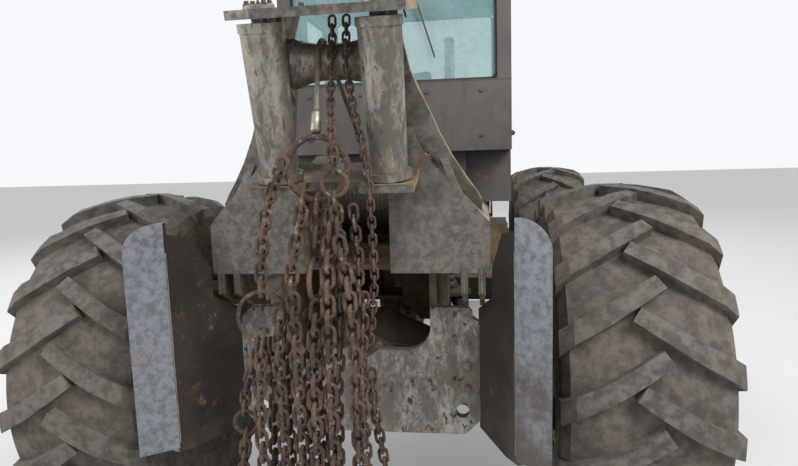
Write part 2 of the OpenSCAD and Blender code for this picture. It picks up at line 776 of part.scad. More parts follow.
module rear_driveshaft() color([0.3, 0.3, 0.3]) {
  start = rear_axle_y + banjo_d/2 + 150 + seat_gap;
  translate([0, start, axle_z]) yoke_shaft(pivot_y - 70 - start);
}

trans_back = 470;

module front_driveshaft() color([0.3, 0.3, 0.3]) {
  end = pivot_y + trans_back - seat_gap;
  translate([0, end, axle_z]) mirror([0, 1, 0]) yoke_shaft(trans_back - 70);
}

module transmission() color([0.35, 0.33, 0.28]) difference() {
  y0 = pivot_y + trans_back;
  union() {
    box([-230, y0, axle_z - 110], [230, y0 + 330, front_deck + 20]);
    box([-150, y0 + 330 - 1, front_low + 10], [150, y0 + 455, front_deck + 200]);
  }
}

engine_x = 255;

module engine_block() color([0.3, 0.32, 0.28]) {
  y0 = pivot_y + trans_back + 455 + seat_gap;
  box([-engine_x, y0, front_low + 30], [engine_x, front_axle_y + 520, 1760]);
}

// Front frame.

ear_t = 36;
post_y = 205;
post_x = 200;
arm_at = [430, 700];
lift_at = [780, 1330];
eye_at = [880, 640];
lift_pin = 44;
lift_w = 100;

module front_frame() color([0.5, 0.42, 0.2]) {
  at_pivot() {
    // hinge ears over and under each tongue, with the pin through them
    for (z = [hinge_low, hinge_top]) {
      for (k = [-1, 1]) plate_z(z + k*(tongue_t/2 + 4 + ear_t/2) - ear_t/2, ear_t) {
        circle(r = neck_x);
        translate([-neck_x, 0]) square([2*neck_x, post_y + 10]);
      }
      translate([0, 0, z - tongue_t/2 - 30]) cylinder(d = hinge_d, h = tongue_t + 60);
    }
    // hinge post: two cheeks tied by plates at top and bottom
    both() plate_x(post_x - 40, 40) polygon([
      [post_y, hinge_low - 70], [post_y + 190, hinge_low - 70],
      [post_y + 260, front_low], [post_y + 260, front_deck],
      [post_y, front_deck]]);
    for (z = [hinge_low - 70, hinge_low + 20, hinge_top - 66, front_deck - 26])
      box([-post_x, post_y, z], [post_x, post_y + 180, z + 26]);
    // ears for the steering rods' eyes
    both() for (k = [-1, 1]) plate_z(steer_z + k*54 - 12, 24) union() {
      translate(steer_b) circle(d = 90);
      polygon([
        [steer_b[0] - 45, steer_b[1]], [steer_b[0] + 45, steer_b[1]],
        [post_x + 60, post_y + 40], [post_x - 40, post_y + 40]]);
    }
  }
  // rails
  both() difference() {
    plate_x(rail_x - rail_t, rail_t) polygon([
      [pivot_y + post_y + 60, front_low], [front_axle_y + 340, front_low],
      [front_axle_y + 380, 640], [front_axle_y + 520, 640],
      [front_axle_y + 560, front_low], [front_axle_y + nose_y - 40, front_low],
      [front_axle_y + nose_y - 40, front_deck], [pivot_y + post_y + 60, front_deck]]);
  }
  // floor plates that tie the rails to the post
  for (z = [front_low, front_deck - 20])
    box([-rail_x, pivot_y + post_y + 60, z], [rail_x, pivot_y + post_y + 260, z + 20]);
  at_front() {
    // hangers that carry the oscillating axle's trunnions
    for (k = [-1, 1]) plate_y(k*(trunnion_y + trunnion_t/2 + 0) - trunnion_t/2, trunnion_t)
      difference() {
        polygon([
          [-rail_x + 5, front_low + 18], [rail_x - 5, front_low + 18], [rail_x - 5, front_low - 20],
          [150, axle_z - 100], [90, axle_z - 150], [-90, axle_z - 150],
          [-150, axle_z - 100], [-rail_x + 5, front_low - 20]]);
        translate([0, axle_z]) circle(d = trunnion_d + 2*run_fit);
      }
    // nose plate
    plate_y(nose_y - 70, 30) polygon([
      [-hood_x, front_deck], [-hood_x, 900], [-330, 640], [330, 640], [hood_x, 900],
      [hood_x, front_deck]]);
    // pins of the blade arms
    translate([0, arm_at[0], arm_at[1]])
      rod_x(90, 2*(arm_x + arm_t/2 + 20), -arm_x - arm_t/2 - 20);
    // lift cylinder towers on the rails
    both() {
      for (x = [arm_x - lift_w/2 - 26, arm_x + lift_w/2 + 6])
        plate_x(x, 20) difference() {
          union() {
            bar_2d([lift_at[0] - 60, front_deck - 60], lift_at, 100);
            polygon([
              [lift_at[0] - 140, front_deck - 160], [lift_at[0] - 45, front_deck - 160],
              [lift_at[0] + 40, lift_at[1]], [lift_at[0] - 40, lift_at[1]]]);
          }
          translate(lift_at) circle(d = lift_pin + 2*run_fit);
        }
      box([rail_x - 10, lift_at[0] - 140, front_deck - 160],
          [arm_x + lift_w/2 + 26, lift_at[0] - 50, front_deck - 130]);
    }
    // cab and engine mounts
    both() for (y = [-600, 0]) 
      box([engine_x + seat_gap, y, front_low + 40], [rail_x - rail_t + 1, y + 120, front_low + 70]);
  }
  // pads under the cab
  both() for (y = [pivot_y + post_y + 90, cab_end - 150])
    box([rail_x - 60, y, front_deck], [rail_x + 40, y + 100, cab_base - seat_gap]);
}

cab_base = 1290;

module side_tanks() color([0.5, 0.42, 0.2]) both() difference() {
  box([rail_x + seat_gap, pivot_y + 130, 860], [cab_x - 5, pivot_y + 560, front_deck - seat_gap]);
  // step in the outer face
  box([cab_x - 130, pivot_y + 220, 1060], [cab_x, pivot_y + 480, 1160]);
}

// Hood, grille, stacks.

module hood() color([0.55, 0.46, 0.2]) {
  y0 = cab_end + 12;
  y1 = front_axle_y + nose_y - 70;
  plate_y(y0, y1 - y0) difference() {
    polygon([
      [-hood_x, 1330], [-hood_x, hood_top - 70], [-hood_x + 70, hood_top],
      [hood_x - 70, hood_top], [hood_x, hood_top - 70], [hood_x, 1330]]);
    polygon([
      [-hood_x + sheet_t, 1329], [-hood_x + sheet_t, hood_top - 74],
      [-hood_x + 74, hood_top - sheet_t], [hood_x - 74, hood_top - sheet_t],
      [hood_x - sheet_t, hood_top - 74], [hood_x - sheet_t, 1329]]);
  }
}

module grille() color([0.3, 0.28, 0.22]) at_front() {
  y0 = nose_y - 70 + seat_gap;
  plate_y(y0, 70) difference() {
    polygon([
      [-hood_x, front_deck + seat_gap], [-hood_x, hood_top - 70], [-hood_x + 70, hood_top],
      [hood_x - 70, hood_top], [hood_x, hood_top - 70], [hood_x, front_deck + seat_gap]]);
    translate([-hood_x + 60, front_deck + 60]) square([2*hood_x - 120, hood_top - front_deck - 120]);
  }
  for (x = [-hood_x + 110:60:hood_x - 100])
    box([x - 8, y0 + 10, front_deck + 59], [x + 8, y0 + 50, hood_top - 59]);
}

module exhaust_stack() color([0.35, 0.25, 0.2]) translate([230, front_axle_y + 120, hood_top + seat_gap]) {
  cylinder(d = 180, h = 420);
  difference() {
    cylinder(d = 90, h = 820);
    translate([0, 0, 600]) cylinder(d = 80, h = 230);
  }
  cylinder(d = 230, h = 10);
}

module air_cleaner() color([0.2, 0.2, 0.2]) translate([-230, front_axle_y + 160, hood_top + seat_gap]) {
  cylinder(d = 110, h = 380);
  translate([0, 0, 380]) cylinder(d1 = 200, d2 = 230, h = 130);
  translate([0, 0, 510]) cylinder(d1 = 230, d2 = 60, h = 60);
}

// Cab.

bay_y = cab_y + 160;
door_post_y = cab_y + 300;
door_back = door_post_y + 60;
door_front = cab_end - post_w - 4;
belt_z = 1960;
base_x = 420;

module cab_frame() color([0.32, 0.32, 0.3]) {
  // narrow base on the front frame
  box([-base_x, cab_y + 100, cab_base], [base_x, cab_end - 10, floor_z - 30]);
  box([-base_x, cab_y + 100, floor_z - 31], [base_x, bay_y, bustle_z]);
  // floor
  box([-cab_x, bay_y, floor_z - 30], [cab_x, cab_end, floor_z]);
  // rear bustle: floor, step wall, side walls and the wall under the window
  box([-cab_x, cab_y, bustle_z], [cab_x, bay_y + 30, bustle_z + 30]);
  box([-cab_x, bay_y, floor_z - 1], [cab_x, bay_y + 30, bustle_z + 1]);
  box([-cab_x, cab_y, bustle_z], [cab_x, cab_y + wall_t, sill_z]);
  both() {
    box([cab_x - wall_t, cab_y, bustle_z], [cab_x, door_post_y + 20, sill_z]);
    box([cab_x - wall_t, bay_y, floor_z - 1], [cab_x, door_post_y + 20, sill_z]);
  }
  // firewall
  box([-cab_x, cab_end - wall_t, floor_z], [cab_x, cab_end, belt_z]);
  // posts
  both() {
    box([cab_x - post_w, cab_y, sill_z - 1], [cab_x, cab_y + post_w, roof_z]);
    box([cab_x - post_w, door_post_y, floor_z - 1], [cab_x, door_post_y + 56, roof_z]);
    box([cab_x - post_w, cab_end - post_w, floor_z - 1], [cab_x, cab_end, roof_z]);
    // top rails
    box([cab_x - post_w, cab_y, roof_z - 60], [cab_x, cab_end, roof_z]);
  }
  for (y = [cab_y, cab_end - post_w])
    box([-cab_x, y, roof_z - 60], [cab_x, y + post_w, roof_z]);
  // door hinge pins on the front posts
  both() for (z = hinge_rows) translate([cab_x + 16, door_front + 2, z]) {
    cylinder(d = 16, h = 90);
    translate([-17, 8, -14]) cube([25, 30, 14]);
    cylinder(d = 30, h = 0.001 + 0);
    translate([0, 0, -14]) cylinder(d = 30, h = 14);
    translate([-17, -0, -14]) cube([17, 12, 14]);
  }
}

hinge_rows = [floor_z + 220, floor_z + 620, roof_z - 250];

module cab_roof() color([0.5, 0.45, 0.3]) difference() {
  box([-cab_x - 20, cab_y - 30, roof_z + seat_gap], [cab_x + 20, cab_end + 60, roof_z + 70]);
  box([-cab_x + post_w, cab_y + post_w, roof_z], [cab_x - post_w, cab_end - post_w, roof_z + 50]);
}

module cab_glass() color([0.4, 0.6, 0.6, 0.5]) {
  inner = cab_x - post_w - seat_gap;
  // rear window, side windows of the bustle and windscreen
  box([-inner, cab_y + 20, sill_z + seat_gap], [inner, cab_y + 20 + glass_t, roof_z - 60 - seat_gap]);
  both() box([cab_x - 30, cab_y + post_w + seat_gap, sill_z + seat_gap],
    [cab_x - 30 + glass_t, door_post_y - seat_gap, roof_z - 60 - seat_gap]);
  box([-inner, cab_end - 30, belt_z + seat_gap], [inner, cab_end - 30 + glass_t, roof_z - 60 - seat_gap]);
}

door_low = floor_z + 10;
door_top = roof_z - 66;
door_mid = 2010;

module door_right() color([0.5, 0.42, 0.2]) difference() {
  union() {
    difference() {
      box([cab_x - wall_t, door_back, door_low], [cab_x, door_front, door_top]);
      box([cab_x - 60, door_back + 70, door_mid], [cab_x + 10, door_front - 70, door_top - 70]);
    }
    for (z = hinge_rows) translate([cab_x + 16, door_front + 2, z + 2]) {
      cylinder(d = 30, h = 60);
      translate([-17, -60, 0]) cube([12, 60, 60]);
      translate([-16, -14, 0]) cube([16, 14, 60]);
    }
  }
  for (z = hinge_rows) translate([cab_x + 16, door_front + 2, z + 1])
    cylinder(d = 16 + 2*run_fit, h = 62);
}

module door_left() mirror([1, 0, 0]) door_right();

module door_glass_right() color([0.4, 0.6, 0.6, 0.5])
  box([cab_x - 26, door_back + 70 + seat_gap, door_mid + seat_gap],
      [cab_x - 26 + glass_t, door_front - 70 - seat_gap, door_top - 70 - seat_gap]);

module door_glass_left() mirror([1, 0, 0]) door_glass_right();

seat_y = bay_y + 50;

module seat_base() color([0.2, 0.2, 0.2]) translate([0, seat_y, floor_z + seat_gap]) {
  box([-150, 80, 0], [150, 400, 180]);
  box([-230, 0, 180], [230, 480, 200]);
  box([-200, 0, 180], [200, 30, 760]);
}

module seat_cushion() color([0.12, 0.12, 0.12]) translate([0, seat_y, floor_z + 200 + 2*seat_gap]) {
  box([-240, 130, 0], [240, 520, 110]);
  box([-230, 30 + seat_gap, 10], [230, 125, 620]);
}

module dashboard() color([0.2, 0.2, 0.2]) {
  box([-330, cab_end - wall_t - 180, belt_z - 260], [330, cab_end - wall_t - seat_gap, belt_z]);
  box([-120, cab_end - wall_t - 160, floor_z + seat_gap], [120, cab_end - wall_t - 40, belt_z - 259]);
}

module steering_wheel() color([0.1, 0.1, 0.1])
  translate([0, cab_end - wall_t - 200, belt_z - 60]) rotate([40, 0, 0]) {
    translate([0, 0, 80]) rotate_extrude() translate([200, 0]) circle(d = 28, $fn = 24);
    cylinder(d = 50, h = 90);
    for (a = [90, 210, 330]) rotate(a) translate([0, -12, 74]) cube([192, 24, 12]);
  }

module work_lamps() color([0.8, 0.8, 0.75]) {
  both() {
    translate([480, cab_end + 60 + seat_gap, roof_z + 36]) rod_y(60, 70, 0);
    translate([480, cab_y - 30 - seat_gap - 70, roof_z + 36]) rod_y(60, 70, 0);
  }
}

// Steering cylinders.

steer_len = norm(steer_b - steer_a);
steer_turn = atan2(steer_a[0] - steer_b[0], steer_b[1] - steer_a[1]);
steer_stroke = 156;

// The frame of a steering cylinder: origin at its tail pin, +Y toward its eye.
module steer_frame(s) at_pivot() side(s) translate([steer_a[0], steer_a[1], steer_z])
  rotate([0, 0, steer_turn]) children();

module steer_barrel(s) color([0.35, 0.33, 0.3]) steer_frame(s) {
  difference() {
    rod_y(steer_barrel_d, 400, 56);
    rod_y(steer_rod_d + 2*run_fit, 400, 76);
  }
  rod_y(62, 50, 10);
  translate([0, 0, -32]) cylinder(d = 84, h = 64);
  translate([0, 0, -steer_barrel_d/2 - 26]) cylinder(d = 40, h = steer_barrel_d + 52);
}

module steer_rod(s) color([0.7, 0.7, 0.7]) steer_frame(s) {
  rod_y(steer_rod_d, steer_len - 100 - steer_stroke, 80 + steer_stroke);
  translate([0, steer_len, -34]) cylinder(d = 80, h = 68);
}

module steer_barrel_right() steer_barrel(1);
module steer_barrel_left() steer_barrel(-1);
module steer_rod_right() steer_rod(1);
module steer_rod_left() steer_rod(-1);

// Blade.

blade_mid = [blade_reach - 20, blade_gap + blade_h/2];
sagitta = 130;
blade_r = (blade_h*blade_h/4 + sagitta*sagitta)/(2*sagitta);

module blade_side_2d(r) intersection() {
  translate([blade_mid[0] - sagitta + blade_r, blade_mid[1]]) circle(r = r, $fn = 180);
  translate([blade_mid[0] - 400, blade_gap]) square([420, blade_h]);
}

module blade() color([0.5, 0.42, 0.2]) at_front() {
  plate_x(-blade_w/2, blade_w) difference() {
    blade_side_2d(blade_r + blade_t);
    blade_side_2d(blade_r);
  }
  // cutting edge
  box([-blade_w/2, blade_reach - 22, blade_gap], [blade_w/2, blade_reach, blade_gap + 150]);
}

module blade_arms() color([0.5, 0.42, 0.2]) at_front() {
  difference() {
    union() {
      both() plate_x(arm_x - arm_t/2, arm_t) union() {
        translate(arm_at) circle(r = 90);
        polygon([
          arm_at + [-20, 88], [eye_at[0], eye_at[1] + 40],
          [blade_reach - 60, 620], [blade_reach - 60, 240],
          [eye_at[0], eye_at[1] - 130], arm_at + [-10, -89]]);
      }
      translate([0, 1040, 520]) rod_x(110, 2*arm_x, -arm_x);
      both() for (x = [-1, 1]) plate_x(arm_x + x*(lift_w/2 + 6 + 10) - 10, 20) union() {
        translate(eye_at) circle(r = 50);
        translate(eye_at - [50, 110]) square([100, 110]);
      }
      both() plate_x(arm_x - lift_w/2 - 26, lift_w + 52)
        translate(eye_at - [50, 110]) square([100, 45]);
    }
    plate_x(-blade_w/2, blade_w) union() {
      translate([blade_mid[0] - sagitta + blade_r, blade_mid[1]])
        circle(r = blade_r + blade_t + seat_gap, $fn = 180);
    }
    translate([0, arm_at[0], arm_at[1]]) rod_x(90 + 2*run_fit, 4*arm_x, -2*arm_x);
    both() box([arm_x - lift_w/2 - 6, eye_at[0] - 70, eye_at[1] - 64],
      [arm_x + lift_w/2 + 6, eye_at[0] + 70, eye_at[1] + 200]);
  }
}

lift_len = norm(eye_at - lift_at);
lift_turn = atan2(eye_at[1] - lift_at[1], eye_at[0] - lift_at[0]) + 90;
lift_stroke = 200;
barrel_end = lift_len - lift_stroke - 66;

// The frame of a lift cylinder: origin at its head pin, -Z toward its eye.
module lift_frame(s) at_front() side(s) translate([arm_x, lift_at[0], lift_at[1]])
  rotate([lift_turn, 0, 0]) children();

module lift_barrel(s) color([0.35, 0.33, 0.3]) lift_frame(s) {
  difference() {
    union() {
      translate([0, 0, -barrel_end]) cylinder(d = 96, h = barrel_end - 50);
      rod_x(90, lift_w - 8, -lift_w/2 + 4);
      translate([0, 0, -60]) cylinder(d = 60, h = 60);
    }
    translate([0, 0, -barrel_end - 20]) cylinder(d = 50 + 2*run_fit, h = barrel_end - 40);
  }
  rod_x(lift_pin, lift_w + 60, -lift_w/2 - 30);
}

module lift_rod(s) color([0.7, 0.7, 0.7]) lift_frame(s) {
  translate([0, 0, -lift_len + 30]) cylinder(d = 50, h = lift_len - 96 - lift_stroke);
  translate([0, 0, -lift_len]) rod_x(80, lift_w - 4, -lift_w/2 + 2);
}

module lift_barrel_right() lift_barrel(1);
module lift_barrel_left() lift_barrel(-1);
module lift_rod_right() lift_rod(1);
module lift_rod_left() lift_rod(-1);

module tyre_rear_left() wheel_at(-1, rear_axle_y) tyre();
module tyre_rear_right() wheel_at(1, rear_axle_y) tyre();
module tyre_front_left() wheel_at(-1, front_axle_y) tyre();
module tyre_front_right() wheel_at(1, front_axle_y) tyre();
module rim_rear_left() wheel_at(-1, rear_axle_y) rim();
module rim_rear_right() wheel_at(1, rear_axle_y) rim();
module rim_front_left() wheel_at(-1, front_axle_y) rim();
module rim_front_right() wheel_at(1, front_axle_y) rim();

tyre_rear_left();
tyre_rear_right();
tyre_front_left();
tyre_front_right();
rim_rear_left();
rim_rear_right();
rim_front_left();
rim_front_right();
rear_axle();
front_axle();
rear_frame();
stern_plate();
log_guards();
fairlead_arch();
roller_left();
roller_right();
cross_roller();
winch_case();
winch_drum();
main_line();
choker_chains();
rear_driveshaft();
front_frame();
front_driveshaft();
transmission();
engine_block();
hood();
grille();
exhaust_stack();
air_cleaner();
side_tanks();
cab_frame();
cab_roof();
cab_glass();
door_left();
door_right();
door_glass_left();
door_glass_right();
seat_base();
seat_cushion();
dashboard();
steering_wheel();
work_lamps();
steer_barrel_left();
steer_barrel_right();
steer_rod_left();
steer_rod_right();
blade();
blade_arms();
lift_barrel_left();
lift_barrel_right();
lift_rod_left();
lift_rod_right();
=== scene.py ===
import json
import logging
from dataclasses import dataclass
from enum import Enum
from math import acos, asin, atan2, cos, exp, hypot, pi, radians, sin, sqrt
from typing import Optional, Sequence, Union

import bmesh
import bpy
from mathutils import Matrix, Vector


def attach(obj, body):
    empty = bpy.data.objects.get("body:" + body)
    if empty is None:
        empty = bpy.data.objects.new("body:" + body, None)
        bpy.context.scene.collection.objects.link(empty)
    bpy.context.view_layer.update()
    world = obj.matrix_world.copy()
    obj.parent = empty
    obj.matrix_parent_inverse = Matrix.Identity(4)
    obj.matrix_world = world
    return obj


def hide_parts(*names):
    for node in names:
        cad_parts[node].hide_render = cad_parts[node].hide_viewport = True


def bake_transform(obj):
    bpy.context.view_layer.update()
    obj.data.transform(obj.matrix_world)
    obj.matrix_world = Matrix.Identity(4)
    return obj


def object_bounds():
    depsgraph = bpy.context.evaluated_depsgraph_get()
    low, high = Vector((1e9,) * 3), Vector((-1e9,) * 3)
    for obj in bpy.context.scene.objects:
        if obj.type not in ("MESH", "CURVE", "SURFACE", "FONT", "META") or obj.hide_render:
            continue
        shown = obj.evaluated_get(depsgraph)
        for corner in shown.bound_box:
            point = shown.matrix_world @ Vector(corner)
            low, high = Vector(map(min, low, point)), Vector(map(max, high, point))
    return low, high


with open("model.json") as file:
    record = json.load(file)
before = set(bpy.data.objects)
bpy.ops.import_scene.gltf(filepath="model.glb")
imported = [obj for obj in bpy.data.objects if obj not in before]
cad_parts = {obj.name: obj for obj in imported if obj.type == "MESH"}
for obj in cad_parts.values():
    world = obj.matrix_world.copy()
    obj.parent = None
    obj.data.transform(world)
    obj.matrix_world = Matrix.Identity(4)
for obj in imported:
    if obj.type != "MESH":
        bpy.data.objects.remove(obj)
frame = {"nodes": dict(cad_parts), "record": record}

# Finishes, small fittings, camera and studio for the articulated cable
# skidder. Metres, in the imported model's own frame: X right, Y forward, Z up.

LOG = logging.getLogger("skidder")
LOW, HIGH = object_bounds()
# The axles and the pivot along the machine, and the axles' height.
REAR_AXLE = -1.769
FRONT_AXLE = 1.081
AXLE_Z = 0.8025
PIVOT = -0.344
# The drum's place ahead of the rear axle and its height, and the doors' middle.
DRUM_Y, DRUM_Z = 0.110, 1.570
DOOR_Y = REAR_AXLE + 1.638
FRONT, REAR = "front_body", "rear_body"
HANDS = ((1, "right"), (-1, "left"))
UP = (0, 0, 1)
DOWN = (0, 0, -1)
# Angle in radians over which an edge stays sharp.
SHARP = 0.6

Number = Union[int, float]
Colour = tuple[float, float, float]
Point = Sequence[float]


# Shader expressions


class Wire:
    """A shader socket that takes part in Python expressions."""

    def __init__(self, shader: "Shader", socket: bpy.types.NodeSocket) -> None:
        """Holds the socket and the shader that it belongs to."""
        self.shader = shader
        self.socket = socket

    def _maths(self, operation: str, *others: Union["Wire", Number]) -> "Wire":
        """Adds a Math node with this socket first."""
        values = dict(enumerate((self, *others)))
        return self.shader.add("ShaderNodeMath", {"operation": operation}, values)

    def __add__(self, other: Union["Wire", Number]) -> "Wire":
        """The sum of two values."""
        return self._maths("ADD", other)

    __radd__ = __add__

    def __sub__(self, other: Union["Wire", Number]) -> "Wire":
        """This value less another."""
        return self._maths("SUBTRACT", other)

    def __rsub__(self, other: Number) -> "Wire":
        """A number less this value."""
        values = {0: other, 1: self}
        return self.shader.add("ShaderNodeMath", {"operation": "SUBTRACT"}, values)

    def __mul__(self, other: Union["Wire", Number]) -> "Wire":
        """The product of two values."""
        return self._maths("MULTIPLY", other)

    __rmul__ = __mul__

    def __pow__(self, other: Number) -> "Wire":
        """This value to a power."""
        return self._maths("POWER", other)

    def least(self, other: Union["Wire", Number]) -> "Wire":
        """The smaller of two values."""
        return self._maths("MINIMUM", other)

    def most(self, other: Union["Wire", Number]) -> "Wire":
        """The larger of two values."""
        return self._maths("MAXIMUM", other)

    def step(self, low: float, high: float) -> "Wire":
        """A soft step from 0 at low to 1 at high.

        Args:
            low: value at which the result is 0.
            high: value at which the result is 1.

        Returns:
            The stepped value.
        """
        return self.shader.add(
            "ShaderNodeMapRange",
            {"interpolation_type": "SMOOTHSTEP", "clamp": True},
            {0: self, 1: low, 2: high, 3: 0.0, 4: 1.0},
        )


class Shader:
    """A material's node tree round one Principled shader."""

    def __init__(self, name: str) -> None:
        """Makes the material and its two end nodes.

        Args:
            name: the material's name.
        """
        self.material = bpy.data.materials.new(name)
        self.material.use_nodes = True
        self.tree = self.material.node_tree
        self.tree.nodes.clear()
        self.surface = self.tree.nodes.new("ShaderNodeBsdfPrincipled")
        output = self.tree.nodes.new("ShaderNodeOutputMaterial")
        self.tree.links.new(self.surface.outputs[0], output.inputs["Surface"])
        self.place = self.add("ShaderNodeTexCoord", {}, {}, "Object")

    def add(
        self,
        kind: str,
        settings: dict,
        sockets: dict,
        out: Union[int, str] = 0,
    ) -> Wire:
        """Adds any node.

        Args:
            kind: the node's type name.
            settings: its properties, and "stops" for a colour ramp.
            sockets: values or wires by input index or name.
            out: the output to return.

        Returns:
            The wire of that output.
        """
        node = self.tree.nodes.new(kind)
        for name, value in settings.items():
            if name == "stops":
                stops = node.color_ramp.elements
                while len(stops) < len(value):
                    stops.new(0.5)
                for stop, (where, colour) in zip(stops, value):
                    stop.position = where
                    stop.color = (*colour, 1.0)
            else:
                setattr(node, name, value)
        for key, value in sockets.items():
            if isinstance(value, Wire):
                self.tree.links.new(value.socket, node.inputs[key])
            else:
                node.inputs[key].default_value = value
        return Wire(self, node.outputs[out])

    def split(self, vector: Wire) -> tuple[Wire, Wire, Wire]:
        """The x, y and z of a vector, as three wires."""
        node = self.add("ShaderNodeSeparateXYZ", {}, {0: vector}).socket.node
        return tuple(Wire(self, node.outputs[k]) for k in range(3))

    def scaled(self, scale: Point, turn: Point = (0, 0, 0)) -> Wire:
        """The object's coordinates, scaled by axis and turned.

        Args:
            scale: factor for each axis.
            turn: rotation in radians.

        Returns:
            The vector wire.
        """
        return self.add(
            "ShaderNodeMapping", {"vector_type": "TEXTURE"},
            {"Vector": self.place, "Rotation": turn, "Scale": [1.0 / k for k in scale]},
        )

    def noise(
        self,
        scale: float,
        detail: float = 6.0,
        rough: float = 0.55,
        at: Optional[Wire] = None,
        bend: float = 0.0,
    ) -> Wire:
        """A noise value.

        Args:
            scale: bumps in a metre.
            detail: octaves.
            rough: strength of the finer octaves.
            at: coordinates, the object's own when None.
            bend: distortion.

        Returns:
            The noise, mostly between 0.3 and 0.7.
        """
        return self.add(
            "ShaderNodeTexNoise",
            {"noise_dimensions": "3D"},
            {"Vector": at or self.place, "Scale": scale, "Detail": detail,
             "Roughness": rough, "Distortion": bend},
        )

    def mix(
        self,
        a: Union[Wire, Colour],
        b: Union[Wire, Colour],
        share: Union[Wire, float],
    ) -> Wire:
        """Two colours mixed.

        Args:
            a: colour where share is 0.
            b: colour where share is 1.
            share: how much of b shows.

        Returns:
            The mixed colour.
        """
        ends = [c if isinstance(c, Wire) else (*c, 1.0) for c in (a, b)]
        return self.add(
            "ShaderNodeMix", {"data_type": "RGBA", "clamp_factor": True},
            {0: share, 6: ends[0], 7: ends[1]}, 2,
        )

    def shades(self, value: Wire, stops: Sequence[tuple[float, Colour]]) -> Wire:
        """A value turned into a colour through a row of stops."""
        return self.add("ShaderNodeValToRGB", {"stops": stops}, {0: value})

    def relief(self, height: Wire, depth: float, strength: float = 1.0) -> Wire:
        """A normal bent by a height in units of depth metres."""
        return self.add("ShaderNodeBump", {}, {"Height": height, "Distance": depth,
                                               "Strength": strength})

    def facing(self) -> tuple[Wire, Wire, Wire]:
        """The surface's own normal in the object's frame."""
        return self.split(self.add("ShaderNodeTexCoord", {}, {}, "Normal"))

    def dress(self, **sockets: Union[Wire, Number, Colour]) -> bpy.types.Material:
        """Sets or links the Principled shader's sockets.

        Args:
            sockets: names with _ for a space, and their wires or values.

        Returns:
            The finished material.
        """
        for name, value in sockets.items():
            socket = self.surface.inputs[name.replace("_", " ")]
            if isinstance(value, Wire):
                self.tree.links.new(value.socket, socket)
            elif isinstance(value, tuple):
                socket.default_value = (*value, 1.0)
            else:
                socket.default_value = value
        return self.material


# Finishes


@dataclass(frozen=True)
class Weathered:
    """Paint or steel that has worked outdoors: worn, rusted and dusty."""

    name: str
    paint: Colour
    faded: Colour
    bare: Colour = (0.36, 0.34, 0.31)
    rust: Colour = (0.16, 0.07, 0.035)
    dirt: Colour = (0.13, 0.105, 0.08)
    bare_from: float = 0.60
    rust_from: float = 0.58
    dirt_from: float = 0.52
    scraped: float = 0.0
    roughness: float = 0.5
    pits: float = 0.0012

    def build(self) -> bpy.types.Material:
        """Builds the material.

        Returns:
            The material, named after the finish.
        """
        s = Shader(self.name)
        _, _, z = s.split(s.place)
        _, toward, up = s.facing()
        patch = s.noise(3.1, 8, 0.62)
        fine = s.noise(38.0, 8, 0.65)
        streak = s.noise(9.0, 6, 0.6, s.scaled((3.2, 3.2, 0.35)))
        scratch = s.noise(26.0, 4, 0.7, s.scaled((1.0, 1.0, 5.0), (0.5, 0.3, 0.2)), 0.6)
        body = s.mix(self.paint, self.faded, patch.step(0.38, 0.62))
        body = s.mix(body, tuple(0.72 * c for c in self.paint), streak.step(0.50, 0.72) * 0.5)
        rear = (0.0 - toward).step(0.35, 0.8) * self.scraped
        bare = (patch * 0.55 + fine * 0.45 + rear * 0.30).step(
            self.bare_from, self.bare_from + 0.035)
        scored = (scratch.step(0.62, 0.66) * (0.35 + rear * 0.5)).least(1.0)
        bare = bare.most(scored * 0.7)
        steel = s.mix(tuple(0.62 * c for c in self.bare), self.bare, fine.step(0.36, 0.62))
        colour = s.mix(body, steel, bare)
        rusted = (s.noise(5.3, 9, 0.66) * 0.6 + fine * 0.4).step(
            self.rust_from, self.rust_from + 0.07)
        redder = tuple(min(1.0, 1.7 * c) for c in self.rust)
        colour = s.mix(colour, s.mix(self.rust, redder, s.noise(60.0, 4)), rusted * 0.85)
        low = 1.0 - z.step(0.2, 1.35)
        soiled = (s.noise(2.2, 9, 0.68) + low * 0.10 + up.step(0.4, 0.95) * 0.09).step(
            self.dirt_from, self.dirt_from + 0.16)
        colour = s.mix(colour, self.dirt, soiled * 0.88)
        clean = (1.0 - soiled) * (1.0 - rusted)
        height = fine * 0.5 + scratch * 0.3 + rusted * 0.5 + soiled * s.noise(90.0, 4) * 0.6
        return s.dress(
            Base_Color=colour,
            Metallic=bare * clean * 0.85,
            Roughness=(self.roughness + rusted * 0.3 + soiled * 0.35
                       + (fine - 0.5) * 0.25 - bare * 0.1).least(1.0),
            Normal=s.relief(height, self.pits, 0.7),
        )


